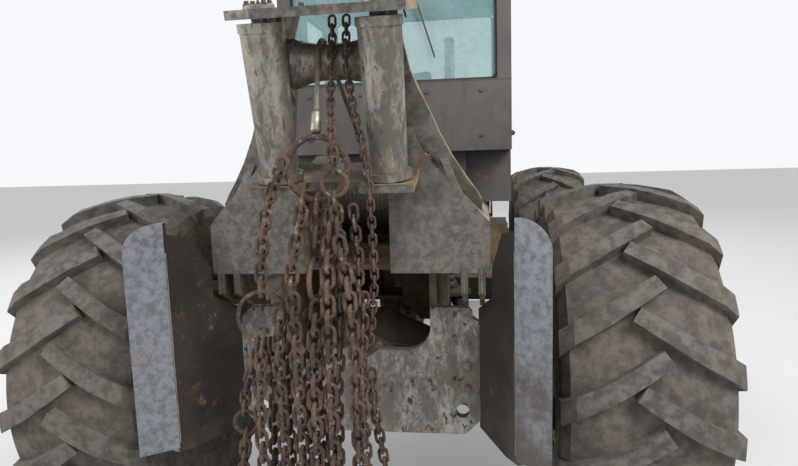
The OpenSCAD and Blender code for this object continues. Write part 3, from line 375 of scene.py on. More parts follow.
@dataclass(frozen=True)
class RubbedSteel:
    """Bare steel that cable and logs polish, with black grime between."""

    name: str
    bright: Colour = (0.37, 0.34, 0.295)
    dull: Colour = (0.125, 0.115, 0.102)
    grime: Colour = (0.045, 0.038, 0.032)
    stretch: Point = (1.0, 1.0, 0.35)
    bright_from: float = 0.44
    grime_from: float = 0.56

    def build(self) -> bpy.types.Material:
        """Builds the material.

        Returns:
            The material, named after the finish.
        """
        s = Shader(self.name)
        drawn = s.scaled(self.stretch)
        broad = s.noise(6.0, 8, 0.66, drawn, 0.4)
        mottle = s.noise(34.0, 8, 0.7, drawn, 0.5)
        flecks = s.noise(120.0, 6, 0.7)
        share = (broad * 0.5 + mottle * 0.5).step(self.bright_from, self.bright_from + 0.12)
        steel = s.mix(self.dull, self.bright, share)
        warm = s.mix(steel, (0.30, 0.21, 0.13), s.noise(12.0, 6).step(0.52, 0.68) * 0.45)
        black = (mottle * 0.6 + s.noise(16.0, 9, 0.7, None, 0.8) * 0.4).step(
            self.grime_from - 0.01, self.grime_from + 0.07)
        colour = s.mix(warm, self.grime, black.most(flecks.step(0.62, 0.66) * 0.6))
        return s.dress(
            Base_Color=colour,
            Metallic=(1.0 - black) * (0.35 + share * 0.45),
            Roughness=(0.62 - share * 0.22 + black * 0.25 + (flecks - 0.5) * 0.2).least(1.0),
            Normal=s.relief(mottle * 0.7 + flecks * 0.3 + black * 0.4, 0.0016, 0.8),
        )


@dataclass(frozen=True)
class ChainRust:
    """Brown rust of handled chain, with orange and worn grey touches."""

    name: str

    def build(self) -> bpy.types.Material:
        """Builds the material.

        Returns:
            The material, named after the finish.
        """
        s = Shader(self.name)
        broad = s.noise(7.0, 8, 0.6)
        fine = s.noise(95.0, 8, 0.65)
        scale = s.noise(260.0, 5, 0.6)
        colour = s.shades(
            broad * 0.55 + fine * 0.45,
            [(0.32, (0.022, 0.016, 0.013)), (0.45, (0.055, 0.036, 0.027)),
             (0.53, (0.098, 0.060, 0.042)), (0.62, (0.150, 0.096, 0.068)),
             (0.75, (0.205, 0.165, 0.135))])
        orange = s.noise(31.0, 6, 0.6).step(0.58, 0.70)
        colour = s.mix(colour, (0.175, 0.078, 0.034), orange * 0.45)
        worn = s.noise(44.0, 5, 0.5).step(0.60, 0.66)
        colour = s.mix(colour, (0.29, 0.26, 0.235), worn * 0.6)
        return s.dress(
            Base_Color=colour,
            Metallic=worn * 0.6,
            Roughness=(0.86 - worn * 0.3 + (scale - 0.5) * 0.2).least(1.0),
            Normal=s.relief(fine * 0.6 + scale * 0.4, 0.0014, 0.9),
        )


@dataclass(frozen=True)
class DustyRubber:
    """Tyre rubber under dried field dust, rubbed cleaner on the lugs."""

    name: str
    axle_y: float

    def build(self) -> bpy.types.Material:
        """Builds the material.

        Returns:
            The material, named after the finish.
        """
        s = Shader(self.name)
        _, y, z = s.split(s.place)
        off_y = y - self.axle_y
        off_z = z - AXLE_Z
        radius = (off_y * off_y + off_z * off_z) ** 0.5
        crown = radius.step(0.762, 0.796)
        broad = s.noise(3.4, 8, 0.62)
        mottle = s.noise(21.0, 9, 0.66)
        grit = s.noise(210.0, 6, 0.65)
        rubber = s.mix((0.062, 0.056, 0.051), (0.092, 0.083, 0.074), mottle.step(0.4, 0.65))
        dust = s.mix((0.124, 0.104, 0.085), (0.178, 0.154, 0.129), mottle.step(0.36, 0.62))
        cover = (broad * 0.45 + mottle * 0.35 + grit * 0.2 - crown * 0.03).step(0.36, 0.60)
        colour = s.mix(rubber, dust, cover * 0.9)
        rubbed = (crown * mottle.step(0.42, 0.62)) * 0.55
        colour = s.mix(colour, (0.150, 0.142, 0.134), rubbed)
        cut = s.noise(15.0, 5, 0.75, s.scaled((1.0, 2.6, 2.6)), 1.2)
        nick = (cut.step(0.665, 0.685)) * 0.35
        colour = s.mix(colour, (0.075, 0.065, 0.056), nick)
        return s.dress(
            Base_Color=colour,
            Roughness=(0.82 + cover * 0.14 - rubbed * 0.12).least(1.0),
            Normal=s.relief(mottle * 0.5 + grit * 0.35 - nick * 0.5, 0.0026, 0.6),
        )


@dataclass(frozen=True)
class CabGlass:
    """Safety glass with a green tint under a thin film of dust."""

    name: str

    def build(self) -> bpy.types.Material:
        """Builds the material.

        Returns:
            The material, named after the finish.
        """
        s = Shader(self.name)
        film = (s.noise(5.0, 8, 0.62) * 0.6 + s.noise(44.0, 6, 0.6) * 0.4).step(0.42, 0.66)
        smear = s.noise(8.0, 5, 0.6, s.scaled((1.0, 1.0, 0.2))).step(0.55, 0.7)
        veil = (film * 0.22 + smear * 0.12).least(1.0)
        return s.dress(
            Base_Color=s.mix((0.35, 0.60, 0.62), (0.52, 0.60, 0.60), veil),
            Roughness=0.06 + veil * 0.5,
            Alpha=0.30 + veil * 0.5,
            IOR=1.45,
        )


@dataclass(frozen=True)
class Plain:
    """A lightly used finish: plastic, vinyl, chrome, rope or lens."""

    name: str
    colour: Colour
    other: Colour
    roughness: float
    metal: float = 0.0
    grain: float = 300.0
    depth: float = 0.0004
    coat: float = 0.0

    def build(self) -> bpy.types.Material:
        """Builds the material.

        Returns:
            The material, named after the finish.
        """
        s = Shader(self.name)
        broad = s.noise(6.0, 7, 0.6)
        grain = s.noise(self.grain, 5, 0.55)
        dust = s.noise(17.0, 8, 0.65).step(0.55, 0.72)
        colour = s.mix(self.colour, self.other, (broad * 0.6 + grain * 0.4).step(0.4, 0.62))
        colour = s.mix(colour, (0.20, 0.17, 0.13), dust * 0.4)
        return s.dress(
            Base_Color=colour,
            Metallic=self.metal,
            Roughness=(self.roughness + dust * 0.3 + (broad - 0.5) * 0.15).least(1.0),
            Normal=s.relief(grain, self.depth, 0.6),
            Coat_Weight=self.coat,
        )


class Finish(Enum):
    """The machine's finishes, each with its recipe and material slot."""

    ARCH = "arch", "frame_paint"
    GUARD = "guard", "worn_steel"
    STERN = "stern", "worn_steel"
    FRAME = "frame", "frame_paint"
    HOOD = "hood", "frame_paint"
    CAB = "cab", "cab_paint"
    ROLLER = "roller", "worn_steel"
    DARK = "dark", "dark_steel"
    CAST = "cast", "dark_steel"
    CHAIN = "chain", "chain_steel"
    ROPE = "rope", "rope_steel"
    TYRE_REAR = "tyre_rear", "tyre"
    TYRE_FRONT = "tyre_front", "tyre"
    RIM = "rim", "rim_paint"
    GLASS = "glass", "window_glass"
    CHROME = "chrome", "chrome_rod"
    SEAT = "seat", "seat_vinyl"
    PLASTIC = "plastic", "cab_plastic"
    RUBBER = "rubber", "cab_plastic"
    LENS = "lens", "lamp_lens"
    EXHAUST = "exhaust", "exhaust_rust"

    @property
    def slot(self) -> str:
        """The record's material slot for this finish."""
        return self.value[1]


RECIPES = {
    Finish.ARCH: Weathered(
        "arch_paint", (0.30, 0.205, 0.075), (0.38, 0.285, 0.13), (0.25, 0.235, 0.215),
        dirt=(0.048, 0.037, 0.029), bare_from=0.54, rust_from=0.55, dirt_from=0.49, scraped=0.9,
        roughness=0.38),
    # The guard's bare steel colour is real worn steel, with a blue tint that is a painted sky
    # reflection.
    Finish.GUARD: Weathered(
        "guard_steel", (0.034, 0.028, 0.024), (0.052, 0.042, 0.035), (0.30, 0.318, 0.35),
        dirt=(0.085, 0.066, 0.052), bare_from=0.60, rust_from=0.59, dirt_from=0.545,
        scraped=1.0, roughness=0.40),
    Finish.STERN: RubbedSteel(
        "stern_steel", (0.44, 0.425, 0.395), (0.17, 0.157, 0.14), (0.040, 0.034, 0.029),
        (1.0, 1.0, 0.5), 0.45, 0.53),
    Finish.FRAME: Weathered(
        "frame_paint", (0.25, 0.168, 0.062), (0.19, 0.14, 0.075), dirt=(0.085, 0.070, 0.055),
        dirt_from=0.41, rust_from=0.54, roughness=0.55),
    Finish.HOOD: Weathered(
        "hood_paint", (0.42, 0.27, 0.075), (0.46, 0.34, 0.16), bare_from=0.66, rust_from=0.62,
        dirt_from=0.57, roughness=0.6),
    Finish.CAB: Weathered(
        "cab_paint", (0.075, 0.068, 0.066), (0.115, 0.10, 0.092), (0.22, 0.20, 0.18),
        bare_from=0.66, rust_from=0.58, dirt_from=0.58, roughness=0.5),
    Finish.ROLLER: RubbedSteel("roller_steel"),
    Finish.DARK: Weathered(
        "dark_steel", (0.06, 0.055, 0.05), (0.10, 0.088, 0.075), (0.28, 0.26, 0.24),
        bare_from=0.62, dirt_from=0.54),
    Finish.CAST: Weathered(
        "cast_iron", (0.075, 0.066, 0.055), (0.12, 0.10, 0.078), (0.24, 0.22, 0.20),
        bare_from=0.66, dirt_from=0.44, roughness=0.7, pits=0.002),
    Finish.CHAIN: ChainRust("chain_rust"),
    Finish.ROPE: Plain(
        "rope_steel", (0.16, 0.14, 0.12), (0.30, 0.27, 0.23), 0.55, 0.6, 90.0, 0.001),
    Finish.TYRE_REAR: DustyRubber("rear_tyre_rubber", REAR_AXLE),
    Finish.TYRE_FRONT: DustyRubber("front_tyre_rubber", FRONT_AXLE),
    Finish.RIM: Weathered(
        "rim_paint", (0.38, 0.27, 0.10), (0.30, 0.22, 0.11), rust_from=0.56, dirt_from=0.50),
    Finish.GLASS: CabGlass("cab_glass"),
    Finish.CHROME: Plain("chrome_rod", (0.62, 0.62, 0.62), (0.50, 0.49, 0.47), 0.18, 1.0),
    Finish.SEAT: Plain(
        "seat_vinyl", (0.028, 0.028, 0.030), (0.05, 0.048, 0.046), 0.5, 0.0, 420.0, 0.0006),
    Finish.PLASTIC: Plain("cab_plastic", (0.035, 0.035, 0.036), (0.06, 0.058, 0.055), 0.55),
    Finish.RUBBER: Plain("hose_rubber", (0.02, 0.02, 0.02), (0.045, 0.042, 0.04), 0.7),
    Finish.LENS: Plain(
        "lamp_lens", (0.75, 0.77, 0.78), (0.62, 0.64, 0.64), 0.15, 0.0, 120.0, 0.001, 0.6),
    Finish.EXHAUST: Weathered(
        "exhaust_rust", (0.13, 0.065, 0.04), (0.20, 0.10, 0.055), rust_from=0.46,
        dirt_from=0.66, roughness=0.75),
}


class Paintshop:
    """Builds each finish once and hands out its material."""

    def __init__(self) -> None:
        """Starts with no material built."""
        self.made: dict[Finish, bpy.types.Material] = {}

    def material(self, finish: Finish) -> bpy.types.Material:
        """The material of a finish, built at its first use."""
        if finish not in self.made:
            self.made[finish] = RECIPES[finish].build()
        return self.made[finish]

    def coat(self, thing: bpy.types.Object, finish: Finish) -> None:
        """Gives an object one finish in all its material slots.

        Args:
            thing: the object.
            finish: the finish it takes.
        """
        thing.data.materials.clear()
        thing.data.materials.append(self.material(finish))

    def coat_nodes(self, finish: Finish, *names: str) -> None:
        """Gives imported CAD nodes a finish, their meshes left as they are.

        Args:
            finish: the finish they take.
            names: the nodes.
        """
        for name in names:
            self.coat(frame["nodes"][name], finish)
            LOG.info("node %s: %s", name, finish.value[0])


SHOP = Paintshop()


# Mesh making


def turns(count: int, start: float = 0.0) -> list[float]:
    """Even turns round a circle in radians, the first at start steps."""
    return [2 * pi * (k + start) / count for k in range(count)]


def link_up(name: str, data: bpy.types.ID) -> bpy.types.Object:
    """Makes an object of a mesh, lamp or camera and links it to the scene.

    Args:
        name: the object's name.
        data: what it shows.

    Returns:
        The object.
    """
    thing = bpy.data.objects.new(name, data)
    bpy.context.scene.collection.objects.link(thing)
    return thing


class Former:
    """Collects simple metalwork in one mesh and turns it into a piece."""

    def __init__(self, name: str) -> None:
        """Starts an empty mesh."""
        self.name = name
        self.mesh = bmesh.new()

    def loft(
        self,
        rings: Sequence[Sequence[Vector]],
        closed: bool = False,
        caps: bool = True,
    ) -> None:
        """Skins a row of rings with the same number of points.

        Args:
            rings: the rings in order.
            closed: whether the last ring joins the first.
            caps: whether the open ends get faces.
        """
        rows = [[self.mesh.verts.new(p) for p in ring] for ring in rings]
        count = len(rows[0])
        pairs = list(zip(rows, rows[1:])) + ([(rows[-1], rows[0])] if closed else [])
        for a, b in pairs:
            for k in range(count):
                self.mesh.faces.new((a[k], a[(k + 1) % count], b[(k + 1) % count], b[k]))
        if caps and not closed:
            self.mesh.faces.new(list(reversed(rows[0])))
            self.mesh.faces.new(rows[-1])

    def tube(self, points: Sequence[Point], radius: Union[float, Sequence[float]],
             sides: int = 12, closed: bool = False) -> None:
        """A round bar or hose along a row of points.

        Args:
            points: its middle line.
            radius: one radius, or one for each point.
            sides: sides of its section.
            closed: whether it joins up.
        """
        line = [Vector(p) for p in points]
        count = len(line)
        radii = [radius] * count if isinstance(radius, (int, float)) else radius
        rings, side = [], None
        for k, p in enumerate(line):
            after = line[(k + 1) % count] if closed else line[min(k + 1, count - 1)]
            before = line[k - 1] if closed else line[max(k - 1, 0)]
            along = (after - before).normalized()
            if side is None:
                side = along.orthogonal().normalized()
            side = (side - side.dot(along) * along).normalized()
            other = along.cross(side)
            rings.append([
                p + radii[k] * (cos(t) * side + sin(t) * other)
                for t in turns(sides)])
        self.loft(rings, closed)

    def lathe(self, at: Point, axis: Point, profile: Sequence[tuple[float, float]],
              sides: int = 24) -> None:
        """A turned part: profile rows are the distance along the axis and the radius.

        Args:
            at: where the distance is 0.
            axis: its direction.
            profile: the rows in order, from one end to the other.
            sides: sides of its section.
        """
        start, along = Vector(at), Vector(axis).normalized()
        side = along.orthogonal().normalized()
        other = along.cross(side)
        self.loft([[
            start + d * along + r * (cos(t) * side + sin(t) * other)
            for t in turns(sides)] for d, r in profile])

    def bolt(self, at: Point, axis: Point, width: float = 0.024, high: float = 0.012) -> None:
        """A hexagon head with a bevelled top, on a washer.

        Args:
            at: the middle of its seat.
            axis: the way it points.
            width: about its size across the flats.
            high: the head's height.
        """
        r = width / 2
        self.lathe(at, axis, [(-0.002, 1.45 * r), (0.003, 1.45 * r)], 14)
        self.lathe(at, axis, [(0.003, 1.12 * r), (0.003 + high * 0.85, 1.12 * r),
                              (0.003 + high, 0.92 * r)], 6)

    def block(self, low: Point, high: Point, turn: Optional[Matrix] = None) -> None:
        """A box between two corners, turned about its middle.

        Args:
            low: its low corner.
            high: its high corner.
            turn: its rotation, none by default.
        """
        a, b = Vector(low), Vector(high)
        middle = (a + b) / 2
        corners = [Vector((x, y, z)) for z in (a.z, b.z) for x, y in
                   ((a.x, a.y), (b.x, a.y), (b.x, b.y), (a.x, b.y))]
        if turn is not None:
            corners = [middle + turn @ (c - middle) for c in corners]
        self.loft([corners[:4], corners[4:]])

    def weld(self, points: Sequence[Point], radius: float = 0.006, pitch: float = 0.011) -> None:
        """A weld bead: overlapping ripples along a line.

        Args:
            points: the seam.
            radius: half the bead's width.
            pitch: distance between ripples.
        """
        for a, b in zip(points, points[1:]):
            start, run = Vector(a), Vector(b) - Vector(a)
            count = max(2, int(run.length / pitch))
            row, radii = [], []
            for k in range(count * 2 + 1):
                row.append(start + run * (k / (count * 2)))
                radii.append(radius * (1.0 if k % 2 else 0.78))
            self.tube(row, radii, 7)

    def done(self, finish: Finish, body: Optional[str],
             bevel: float = 0.0) -> bpy.types.Object:
        """Turns the mesh into a piece that rides on a body.

        Args:
            finish: its finish.
            body: the body it rides on, None where it stays unattached.
            bevel: width of its edges' chamfer, none at 0.

        Returns:
            The new object.
        """
        bmesh.ops.recalc_face_normals(self.mesh, faces=self.mesh.faces)
        data = bpy.data.meshes.new(self.name)
        self.mesh.to_mesh(data)
        self.mesh.free()
        thing = link_up(self.name, data)
        for face in data.polygons:
            face.use_smooth = True
        data.set_sharp_from_angle(angle=SHARP)
        if bevel:
            tool = thing.modifiers.new("edges", "BEVEL")
            tool.width, tool.segments, tool.limit_method = bevel, 2, "ANGLE"
        SHOP.coat(thing, finish)
        if body is not None:
            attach(thing, body)
        LOG.info("piece %s: %d faces on %s", self.name, len(data.polygons), body)
        return thing


def smooth_row(points: Sequence[Point], steps: int = 8) -> list[Vector]:
    """A smooth curve through a row of points.

    Args:
        points: the points it passes.
        steps: pieces between two points.

    Returns:
        The curve's points.
    """
    line = [Vector(p) for p in points]
    padded = [2 * line[0] - line[1], *line, 2 * line[-1] - line[-2]]
    row = []
    for a, b, c, d in zip(padded, padded[1:], padded[2:], padded[3:]):
        for k in range(steps):
            t = k / steps
            row.append(0.5 * ((2 * b) + (c - a) * t + (2 * a - 5 * b + 4 * c - d) * t * t
                              + (3 * b - a - 3 * c + d) * t ** 3))
    return row + [line[-1]]


def body_of(node: str) -> str:
    """The body that carries a CAD node."""
    bodies = frame["record"]["behaviour"]["bodies"]
    return next(body for body, nodes in bodies.items() if node in nodes)


def circle_row(at: Point, axis: Point, radius: float, count: int = 48) -> list[Vector]:
    """Points round a circle.

    Args:
        at: its centre.
        axis: its normal.
        radius: its radius.
        count: number of points.

    Returns:
        The points in order.
    """
    along = Vector(axis).normalized()
    side = along.orthogonal().normalized()
    other = along.cross(side)
    return [Vector(at) + radius * (cos(t) * side + sin(t) * other)
            for t in turns(count)]


# The frame of the upright rollers: its origin is at their feet.
LEAN = radians(13.2)
FAIR_BACK = Vector((0.0, -cos(LEAN), -sin(LEAN)))
FAIR_UP = Vector((0.0, -sin(LEAN), cos(LEAN)))


def fair(x: float, y: float, z: float) -> Vector:
    """A point of the leaning fairlead's frame in the machine's frame."""
    return Vector((x, REAR_AXLE - 0.650, 1.700)) - FAIR_BACK * y + FAIR_UP * z


# Wheels


@dataclass
class Wheel:
    """Fastenings of one wheel, its lock ring and its tyre's moulded ribs."""

    name: str
    side: int
    axle_y: float
    middle: float = 1.080
    disc: float = 0.110
    nut_circle: float = 0.207
    nuts: int = 16

    def at(self, out: float, radius: float, turn: float) -> Vector:
        """A point of the wheel from its distance outward, radius and turn."""
        return Vector((self.side * (self.middle + out),
                       self.axle_y + radius * cos(turn),
                       AXLE_Z + radius * sin(turn)))

    def fastenings(self, body: str) -> None:
        """Nuts on the disc, bolts and plugs on the planetary hub.

        Args:
            body: the wheel's body.
        """
        work = Former(f"wheel_nuts_{self.name}")
        axis = (self.side, 0, 0)
        for turn in turns(self.nuts):
            foot = self.at(self.disc, self.nut_circle, turn)
            work.bolt(foot, axis, 0.031, 0.024)
            work.lathe(foot, axis, [(0.02, 0.0085), (0.038, 0.0085), (0.041, 0.006)], 10)
        for turn in turns(12, 0.5):
            work.bolt(self.at(0.196, 0.148, turn), axis, 0.022, 0.013)
        for radius, turn in ((0.0, 0.0), (0.078, 0.9), (0.078, 4.0)):
            work.bolt(self.at(0.230, radius, turn), axis, 0.036, 0.014)
        work.done(Finish.CAST, body)
        stem = Former(f"valve_stem_{self.name}")
        stem.tube([self.at(0.140, 0.297, 1.2), self.at(0.165, 0.285, 1.2),
                   self.at(0.215, 0.282, 1.2)], [0.006, 0.0055, 0.0055], 10)
        stem.lathe(self.at(0.212, 0.282, 1.2), axis, [
            (0, 0.0075), (0.018, 0.0075), (0.021, 0.006)], 10)
        stem.done(Finish.RUBBER, body)

    def rings(self, body: str) -> None:
        """The rim's lock rings and the ribs of both side walls.

        Args:
            body: the wheel's body.
        """
        lock = Former(f"lock_ring_{self.name}")
        for out in (0.257, -0.257):
            row = circle_row(self.at(out, 0, 0), (1, 0, 0), 0.351, 72)
            lock.tube(row, 0.0065, 8, True)
        lock.done(Finish.RIM, body)
        ribs = Former(f"sidewall_ribs_{self.name}")
        for radius, out in ((0.410, 0.2655), (0.424, 0.2690), (0.470, 0.2810), (0.600, 0.2998),
                            (0.615, 0.2999), (0.655, 0.2993)):
            for hand in (1, -1):
                row = circle_row(self.at(hand * out, 0, 0), (1, 0, 0), radius, 96)
                ribs.tube(row, 0.0034, 6, True)
        ribs.done(Finish.TYRE_REAR if self.axle_y < 0 else Finish.TYRE_FRONT, body)

    def build(self) -> None:
        """Builds all pieces of the wheel."""
        body = body_of(f"tyre_{self.name}")
        self.fastenings(body)
        self.rings(body)


# Chains and rope

# Rings: x, y and z of the middle, outside diameter and wire in millimetres
# from the rear axle and the ground, and the turn about the upright in degrees.
RINGS = (
    (-34, -752, 1722, 236, 22, 0), (36, -800, 1672, 100, 15, 6), (-250, -772, 1205, 200, 15, 0),
    (-56, -756, 1335, 170, 18, 88), (-330, -790, 822, 98, 15, 5),
)
# Strands: size, 1 where the first link stands along the machine, and points.
STRANDS = (
    (0.75, 0, ((66, -650, 2235.9), (66, -664, 2172), (66, -689, 2096), (74, -699, 2020),
      (96, -728, 1910), (124, -750, 1800), (146, -760, 1680), (150, -760, 1500),
      (152, -756, 1337), (138, -756, 1200), (126, -756, 1110))),
    (0.75, 0, ((16, -650, 2235.8), (16, -657, 2168), (16, -684, 2096), (16, -704, 2010),
      (18, -728, 1960), (24, -762, 1905), (30, -788, 1862), (32, -797, 1838),
      (32, -800, 1822.5))),
    (1.1, 1, ((32, -800, 1823.9), (36, -800, 1708.3))),
    (1.25, 0, ((-143.6, -772, 1752), (-172, -775, 1690), (-206, -782, 1610), (-230, -780, 1500),
      (-246, -773, 1380), (-250, -772, 1292.2))),
    (1.1, 1, ((36, -800, 1635.7), (46, -802, 1480), (44, -804, 1320), (33, -804, 1120),
      (14, -804, 960), (8, -804, 560))),
    (1.45, 1, ((-34, -752, 1623.9), (-56, -756, 1404.5))),
    (1.1, 0, ((-56, -756, 1269.6), (-56.5, -756, 1190), (-64, -752, 1080), (-62, -752, 900),
      (-56, -752, 560))),
    (1.1, 1, ((-275.3, -772, 1125), (-278.3, -772, 1092), (-290, -776, 1040), (-314, -786, 980),
      (-328, -790, 920), (-334.2, -790, 855.7))),
    (1.1, 1, ((-330, -790, 787.4), (-350, -786, 671), (-372, -780, 480))),
    (1.1, 1, ((-230, -772, 1121), (-227, -772, 1092), (-222, -768, 1040), (-224, -758, 980),
      (-230, -752, 900), (-238, -752, 847), (-252, -752, 520))),
    (1, 0, ((-78, -785.8, 1230), (-90, -781.8, 1060), (-98, -781.8, 880), (-94, -781.8, 560))),
    (1, 0, ((84, -750, 1590), (98, -750, 1400), (88, -750, 1180), (76, -750, 900),
      (70, -750, 600))),
    (1, 0, ((118, -777.1, 1290), (104, -777.1, 1100), (100, -777.1, 900), (118, -806, 520))),
    (1, 0, ((128.2, -752, 1010), (136.2, -752, 860), (168, -752, 640))),
    (1, 0, ((-163.8, -752, 1150), (-179.8, -752, 1000), (-181.8, -752, 620))),
)
# Rigging beyond the main strands, in the same columns, hooked on the rings
# and on other links.
RIGGING = (
    (1.30, 1, ((11, -752, 1631), (16, -775, 1560), (8, -832, 1400), (2, -844, 1100),
               (2, -844, 520))),
    (1.30, 1, ((-84, -752, 1633), (-96, -782, 1540), (-120, -826, 1380), (-114, -840, 1100),
               (-108, -840, 500))),
    (1.25, 1, ((-250, -772, 1121), (-262, -808, 1020), (-262, -828, 840), (-252, -828, 470))),
    (1.25, 0, ((48, -822, 1490), (78, -838, 1330), (94, -846, 1080), (92, -846, 540))),
    (1.35, 0, ((-40, -812, 1270), (-50, -846, 1120), (-54, -852, 900), (-52, -852, 450))),
    (1.20, 0, ((-176, -806, 1240), (-184, -824, 1080), (-176, -832, 860), (-182, -832, 560))),
)
# Feet of the strands that end in a grab hook, and each hook's turn in degrees.
HOOKS = (
    (2, -844, 516, 20), (-108, -840, 496, -30), (-252, -828, 466, 60), (92, -846, 536, -15),
    (-52, -852, 446, 80), (168, -752, 636, 35), (-372, -780, 476, 10), (-182, -832, 556, -60),
)


def hung(x: float, y: float, z: float) -> Vector:
    """A point in millimetres from the rear axle and the ground, in metres."""
    return Vector((x / 1000, REAR_AXLE + y / 1000, z / 1000))


@dataclass
class ChokerChains:
    """The bundle of choker chains, link by link in round wire."""

    inside: float = 0.044
    gap: float = 0.018
    wire: float = 0.012
    seat: float = 0.0003

    def pitch(self) -> float:
        """Distance between the middles of two neighbouring links of size 1."""
        half = self.gap / 2
        loss = half - sqrt(half ** 2 - (self.wire / 2) ** 2)
        return self.inside - 2 * loss - 2 * self.seat

    def link(self, work: Former, middle: Vector, run: Vector, turned: int, size: float) -> None:
        """One link: a wire bent round a slot.

        Args:
            work: the mesh it goes into.
            middle: its middle.
            run: the way the chain runs.
            turned: 1 where it stands across its neighbour.
            size: its size.
        """
        turn = (Matrix.Rotation(atan2(-run.y, run.z), 3, "X")
                @ Matrix.Rotation(asin(run.x / run.length), 3, "Y")
                @ Matrix.Rotation(pi / 2 * turned, 3, "Z"))
        reach = size * (self.gap + self.wire) / 2
        half = size * (self.inside - self.gap) / 2
        row = []
        for end in (1, -1):
            for k in range(8):
                t = pi * k / 7
                row.append(middle + turn @ Vector((
                    end * reach * cos(t), 0, end * (half + reach * sin(t)))))
        work.tube(row, size * self.wire / 2, 8, True)

    def strand(self, work: Former, size: float, first: int, rows: Sequence[Point]) -> None:
        """Links down a row of points, each turned a quarter from the last.

        Args:
            work: the mesh they go into.
            size: the links' size.
            first: 1 where the first stands along the machine.
            rows: points in millimetres from the rear axle and the ground.
        """
        line = [hung(*row) for row in rows]
        lengths = [(b - a).length for a, b in zip(line, line[1:])]
        total = sum(lengths)
        count = max(1, round(total / (size * self.pitch())))
        fitted = total / (count * self.pitch())

        def along(t: float) -> Vector:
            """The point at a length from the row's start.

            Args:
                t: the length.

            Returns:
                The point.
            """
            for k, (a, b) in enumerate(zip(line, line[1:])):
                if t <= lengths[k] or k == len(lengths) - 1:
                    return a + (b - a) * (t / lengths[k])
                t -= lengths[k]
            return line[-1]

        for k in range(count):
            a, b = along(k * total / count), along((k + 1) * total / count)
            self.link(work, (a + b) / 2, b - a, (k + first) % 2, fitted)

    def hook(self, work: Former, at: Vector, turn: float) -> None:
        """A forged grab hook with its eye at the top.

        Args:
            work: the mesh it goes into.
            at: the eye's top.
            turn: its turn about the upright, in radians.
        """
        spin = Matrix.Rotation(turn, 3, "Z")
        eye = circle_row(at - Vector((0, 0, 0.018)), spin @ Vector((0, 1, 0)), 0.015, 20)
        work.tube(eye, 0.0065, 8, True)
        shape = ((0.0, -0.036), (0.004, -0.052), (0.016, -0.070), (0.020, -0.090),
                 (0.010, -0.108), (-0.008, -0.112), (-0.024, -0.100), (-0.027, -0.080),
                 (-0.022, -0.066))
        row = smooth_row([at + spin @ Vector((x, 0, z)) for x, z in shape], 4)
        count = len(row) - 1
        work.tube(row, [0.0075 + 0.0035 * sin(pi * k / count) - 0.0035 * (k / count) ** 3
                        for k in range(count + 1)], 10)

    def build(self) -> None:
        """Builds the links, rings and toggle bar over the solids, and the rest."""
        work = Former("choker_links")
        for size, first, rows in STRANDS:
            self.strand(work, size, first, rows)
        for x, y, z, wide, wire, turn in RINGS:
            axis = (-sin(radians(turn)), cos(radians(turn)), 0)
            row = circle_row(hung(x, y, z), axis, (wide - wire) / 2000, 56)
            work.tube(row, wire / 2000, 12, True)
        axis = Vector((sin(radians(52)), 0, cos(radians(52))))
        bar = Vector((0.118, REAR_AXLE - 0.756, 1.075))
        work.lathe(bar, axis, [(-0.060, 0.009), (-0.056, 0.013), (-0.012, 0.013), (-0.008, 0.0115),
                               (0.008, 0.0115), (0.012, 0.013), (0.056, 0.013), (0.060, 0.009)], 18)
        piece = work.done(Finish.CHAIN, body_of("choker_chains"))
        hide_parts("choker_chains")
        extra = Former("loose_chokers")
        for size, first, rows in RIGGING:
            self.strand(extra, size, first, rows)
        for x, y, z, turn in HOOKS:
            self.hook(extra, hung(x, y, z), radians(turn))
        extra.done(Finish.CHAIN, body_of("choker_chains"))


